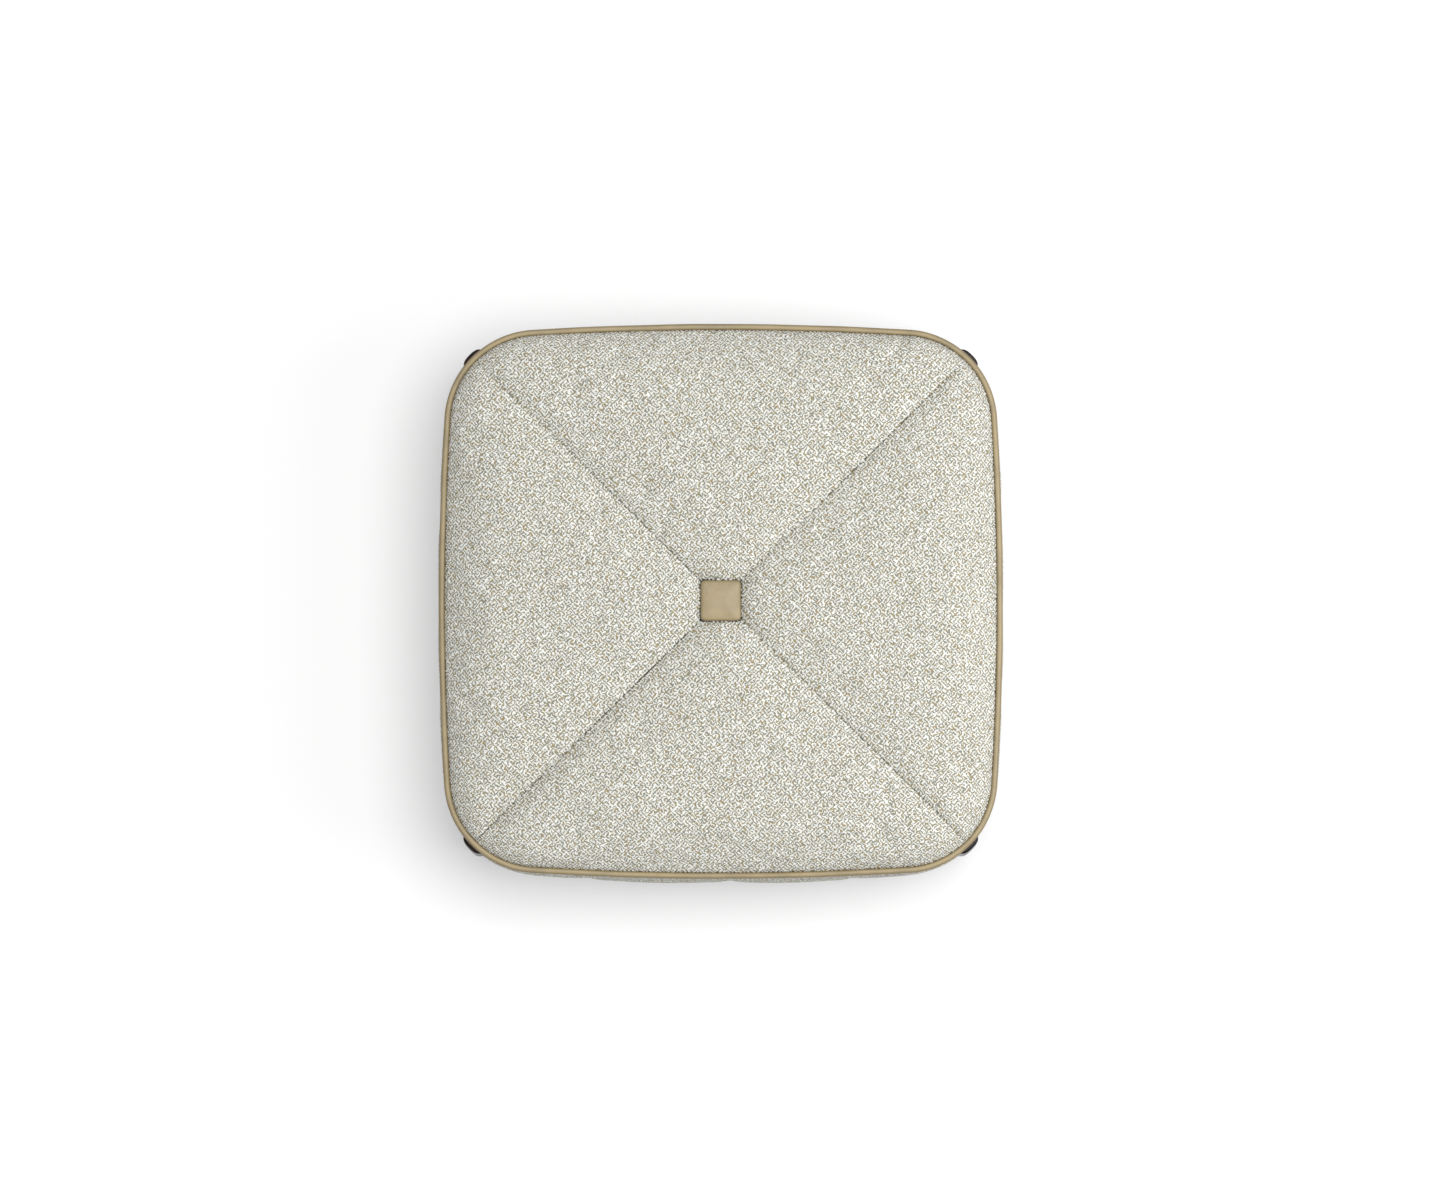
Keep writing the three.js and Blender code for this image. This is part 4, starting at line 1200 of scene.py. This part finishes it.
class SEATPAD_OT_padding(bpy.types.Operator):
    """Cuts the foam block and lays the wadding over it"""

    bl_idname = "seatpad.padding"
    bl_label = "Foam and wadding"

    def execute(self, context):
        sizes = context.scene.seat_pad_sizes
        self.cut_foam(sizes)
        self.lay_wadding(sizes)
        return {"FINISHED"}

    @staticmethod
    def cut_foam(sizes):
        low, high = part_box("foam_core")
        inset = HALF_WIDTH - high.x
        outline = Outline(sizes, inset)
        bm = bmesh.new()
        for quarter in range(4):
            start = [bm.verts.new((outline.halves[quarter % 2] - inset, 0, low.z))]
            sweep_side(bm, start, outline, quarter, step=0.012)
        bmesh.ops.remove_doubles(bm, verts=bm.verts, dist=1e-5)
        base = bmesh.ops.contextual_create(bm, geom=bm.edges)["faces"]
        top = bmesh.ops.extrude_face_region(bm, geom=base)["geom"]
        lifted = [g for g in top if isinstance(g, bmesh.types.BMVert)]
        bmesh.ops.translate(bm, vec=(0, 0, high.z - low.z), verts=lifted)
        upper = [e for e in bm.edges if all(v.co.z > high.z - 1e-6 for v in e.verts)]
        bmesh.ops.bevel(bm, geom=upper, offset=0.006, offset_type="OFFSET", affect="EDGES",
                        segments=4, profile=0.5, material=-1)
        piece = finish_mesh(bm, "foam_block", finish_named("foam"), smooth=False)
        attach(piece, "foam", "foam_core")

    @staticmethod
    def lay_wadding(sizes):
        """A quilt that follows the cover from below and hangs down over the foam's sides."""
        below = 0.0045
        plan = CoverPlan(sizes, CLOTH_INSET + 0.0012)
        bm = bmesh.new()
        bmesh.ops.create_grid(bm, x_segments=56, y_segments=56, size=1.0)
        rims = []
        for vert in bm.verts:
            point, rim, _, _ = plan.place(vert.co.x, vert.co.y)
            rims.append(rim)
            vert.co = point
        xy = np.array([v.co[:2] for v in bm.verts])
        heights = cover_heights(sizes, np.array(rims), *plan.distances(xy)) - below
        for vert, z in zip(bm.verts, heights):
            lump = noise.noise(vert.co / 0.017) * 0.0006
            vert.co.z = z + lump
        border = [e for e in bm.edges if e.is_boundary]
        for drop in (0.010, 0.020, 0.030):
            made = bmesh.ops.extrude_edge_only(bm, edges=border)["geom"]
            border = [g for g in made if isinstance(g, bmesh.types.BMEdge)]
            verts = [g for g in made if isinstance(g, bmesh.types.BMVert)]
            bmesh.ops.translate(bm, vec=(0, 0, -drop), verts=verts)
        piece = finish_mesh(bm, "wadding_quilt", finish_named("wadding"), outward=False)
        thickness = piece.modifiers.new("Thickness", "SOLIDIFY")
        thickness.thickness = 0.0016
        thickness.offset = -1
        attach(piece, "wadding", "wadding")


class SEATPAD_OT_dust_cover(bpy.types.Operator):
    """Stretches the dust cover below the frame and staples it"""

    bl_idname = "seatpad.dust_cover"
    bl_label = "Dust cover"

    def execute(self, context):
        sizes = context.scene.seat_pad_sizes
        self.stretch(sizes)
        self.staple(sizes)
        return {"FINISHED"}

    @staticmethod
    def stretch(sizes):
        low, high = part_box("dust_cover")
        plan = CoverPlan(sizes, HALF_WIDTH - high.x + 0.0005)
        bm = bmesh.new()
        bmesh.ops.create_grid(bm, x_segments=72, y_segments=72, size=1.0)
        for vert in bm.verts:
            point, rim, _, _ = plan.place(vert.co.x, vert.co.y)
            ripple = noise.noise(point / 0.034) * 0.00022 + noise.noise(point / 0.009) * 0.00006
            free = min(1.0, rim / 0.03)
            point.z = DUST_COVER_LEVEL + ripple * free
            vert.co = point
        clear = 0.0135
        legs = [middle(f"leg_{corner}").xy for corner in CORNERS]
        cut = [f for f in bm.faces if min((f.calc_center_median().xy - at).length for at in legs) < clear]
        bmesh.ops.delete(bm, geom=cut, context="FACES")
        bmesh.ops.reverse_faces(bm, faces=bm.faces)
        area = sum(f.calc_area() for f in bm.faces)
        piece = finish_mesh(bm, "stretched_dust_cover", finish_named("dust_cloth"), outward=False)
        attach(piece, "dust_cloth", "dust_cover")

    @staticmethod
    def staple(sizes):
        """A row of wire staples through the edge of the dust cover, a finger's width apart."""
        outline = Outline(sizes, HALF_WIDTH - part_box("dust_cover")[1].x + 0.006)
        bm = bmesh.new()
        for quarter in range(4):
            count = 9
            for i in range(-count, count + 1):
                angle = outline.side_angle(quarter, 0.86 * i / count)
                point = outline.point(angle)
                point.z = DUST_COVER_LEVEL - 0.0008
                tilt = 0.18 * noise.noise(Vector((i * 1.7, quarter * 2.3, 0.5)))
                place = Matrix.Translation(point) @ Matrix.Rotation(angle + math.pi / 2 + tilt, 4, "Z")
                shape = Matrix.Diagonal((0.0102, 0.0011, 0.0005, 1))
                verts = bmesh.ops.create_cube(bm, size=1.0, matrix=place @ shape)["verts"]
                edges = in_order(e for v in verts for e in v.link_edges)
                bmesh.ops.bevel(bm, geom=edges, offset=0.00016, offset_type="OFFSET", affect="EDGES",
                                segments=1, profile=0.5, material=-1)
        piece = finish_mesh(bm, "dust_cover_staples", finish_named("staple_wire"), smooth=False)
        attach(piece, "zinc_steel")


class SEATPAD_OT_stage(bpy.types.Operator):
    """Sets the pale floor, the soft lights and the camera above the pad"""

    bl_idname = "seatpad.stage"
    bl_label = "Stage"

    def execute(self, context):
        scene = context.scene
        scene.view_settings.view_transform = "Standard"
        scene.view_settings.look = "None"
        self.lay_floor(scene)
        self.light(scene)
        self.aim_camera(scene)
        return {"FINISHED"}

    @staticmethod
    def lay_floor(scene):
        bm = bmesh.new()
        bmesh.ops.create_grid(bm, x_segments=1, y_segments=1, size=40.0)
        net = Net("studio_floor")
        glow = 0.335
        material = net.finish(Base_Color=(*scene.seat_pad_colours.floor, 1), Roughness=0.9,
                              Emission_Color=(1, 1, 1, 1), Emission_Strength=glow, Specular_IOR_Level=0.1)
        floor = finish_mesh(bm, "studio_floor", material, smooth=False)
        floor.data.transform(Matrix.Translation((0, 0, -0.0002)))

    @staticmethod
    def hang(scene, name, kind, azimuth, elevation, distance):
        """A light of the given kind that shines at the pad from an azimuth off +X and an elevation."""
        data = bpy.data.lights.new(name, kind)
        lamp = bpy.data.objects.new(name, data)
        a, e = math.radians(azimuth), math.radians(elevation)
        towards = Vector((math.cos(e) * math.cos(a), math.cos(e) * math.sin(a), math.sin(e)))
        lamp.rotation_euler = towards.to_track_quat("Z", "Y").to_euler()
        lamp.location = towards * distance
        lamp.visible_camera = False
        scene.collection.objects.link(lamp)
        return data

    @classmethod
    def light(cls, scene):
        """A wide soft light overhead, a nearer one to the right, and a pale sky."""
        overhead = cls.hang(scene, "overhead_light", "SUN", azimuth=30, elevation=81, distance=3)
        overhead.energy = 2.6
        overhead.angle = math.radians(40)
        key = cls.hang(scene, "key_light", "AREA", azimuth=-8, elevation=42, distance=1.6)
        key.energy = 9.6
        key.shape = "DISK"
        key.size = 1.2
        world = bpy.data.worlds.new("studio")
        world.use_nodes = True
        background = world.node_tree.nodes["Background"]
        background.inputs["Color"].default_value = (1, 1, 1, 1)
        background.inputs["Strength"].default_value = 0.28
        scene.world = world

    @staticmethod
    def aim_camera(scene):
        sizes = scene.seat_pad_sizes
        data = bpy.data.cameras.new("camera")
        data.lens = sizes.camera_lens
        data.sensor_width = 36
        distance = sizes.camera_lens / data.sensor_width * sizes.field_width
        data.clip_start, data.clip_end = 0.1, 100
        camera = bpy.data.objects.new("camera", data)
        back = Vector((0, -math.sin(sizes.camera_tilt), math.cos(sizes.camera_tilt)))
        aim = Vector((0.0014, -0.0007, PIPING_LEVEL))
        camera.location = aim + back * distance
        camera.rotation_mode = "QUATERNION"
        camera.rotation_quaternion = (-back).to_track_quat("-Z", "Y")
        scene.collection.objects.link(camera)
        scene.camera = camera


MAKING = (
    SEATPAD_OT_stage,
    SEATPAD_OT_frame,
    SEATPAD_OT_suspension,
    SEATPAD_OT_padding,
    SEATPAD_OT_top,
    SEATPAD_OT_bands,
    SEATPAD_OT_piping,
    SEATPAD_OT_button,
    SEATPAD_OT_legs,
    SEATPAD_OT_glides,
    SEATPAD_OT_dust_cover,
)


class SEATPAD_PT_panel(bpy.types.Panel):
    """Lists the making steps, the sizes and the colours"""

    bl_label = "Seat pad"
    bl_idname = "SEATPAD_PT_panel"
    bl_space_type = "VIEW_3D"
    bl_region_type = "UI"
    bl_category = "Seat pad"

    def draw(self, context):
        for operator in MAKING:
            self.layout.operator(operator.bl_idname)
        for group in (context.scene.seat_pad_sizes, context.scene.seat_pad_colours):
            box = self.layout.box()
            for name in group.bl_rna.properties.keys():
                if name not in ("rna_type", "name"):
                    box.prop(group, name)


CLASSES = (SeatPadSizes, SeatPadColours, *MAKING, SEATPAD_PT_panel)


def register():
    for cls in CLASSES:
        bpy.utils.register_class(cls)
    bpy.types.Scene.seat_pad_sizes = PointerProperty(type=SeatPadSizes)
    bpy.types.Scene.seat_pad_colours = PointerProperty(type=SeatPadColours)


def unregister():
    del bpy.types.Scene.seat_pad_colours
    del bpy.types.Scene.seat_pad_sizes
    for cls in reversed(CLASSES):
        bpy.utils.unregister_class(cls)


def main():
    """Makes everything in order."""
    register()
    for operator in MAKING:
        category, name = operator.bl_idname.split(".")
        getattr(getattr(bpy.ops, category), name)()


if __name__ == "__main__":
    main()
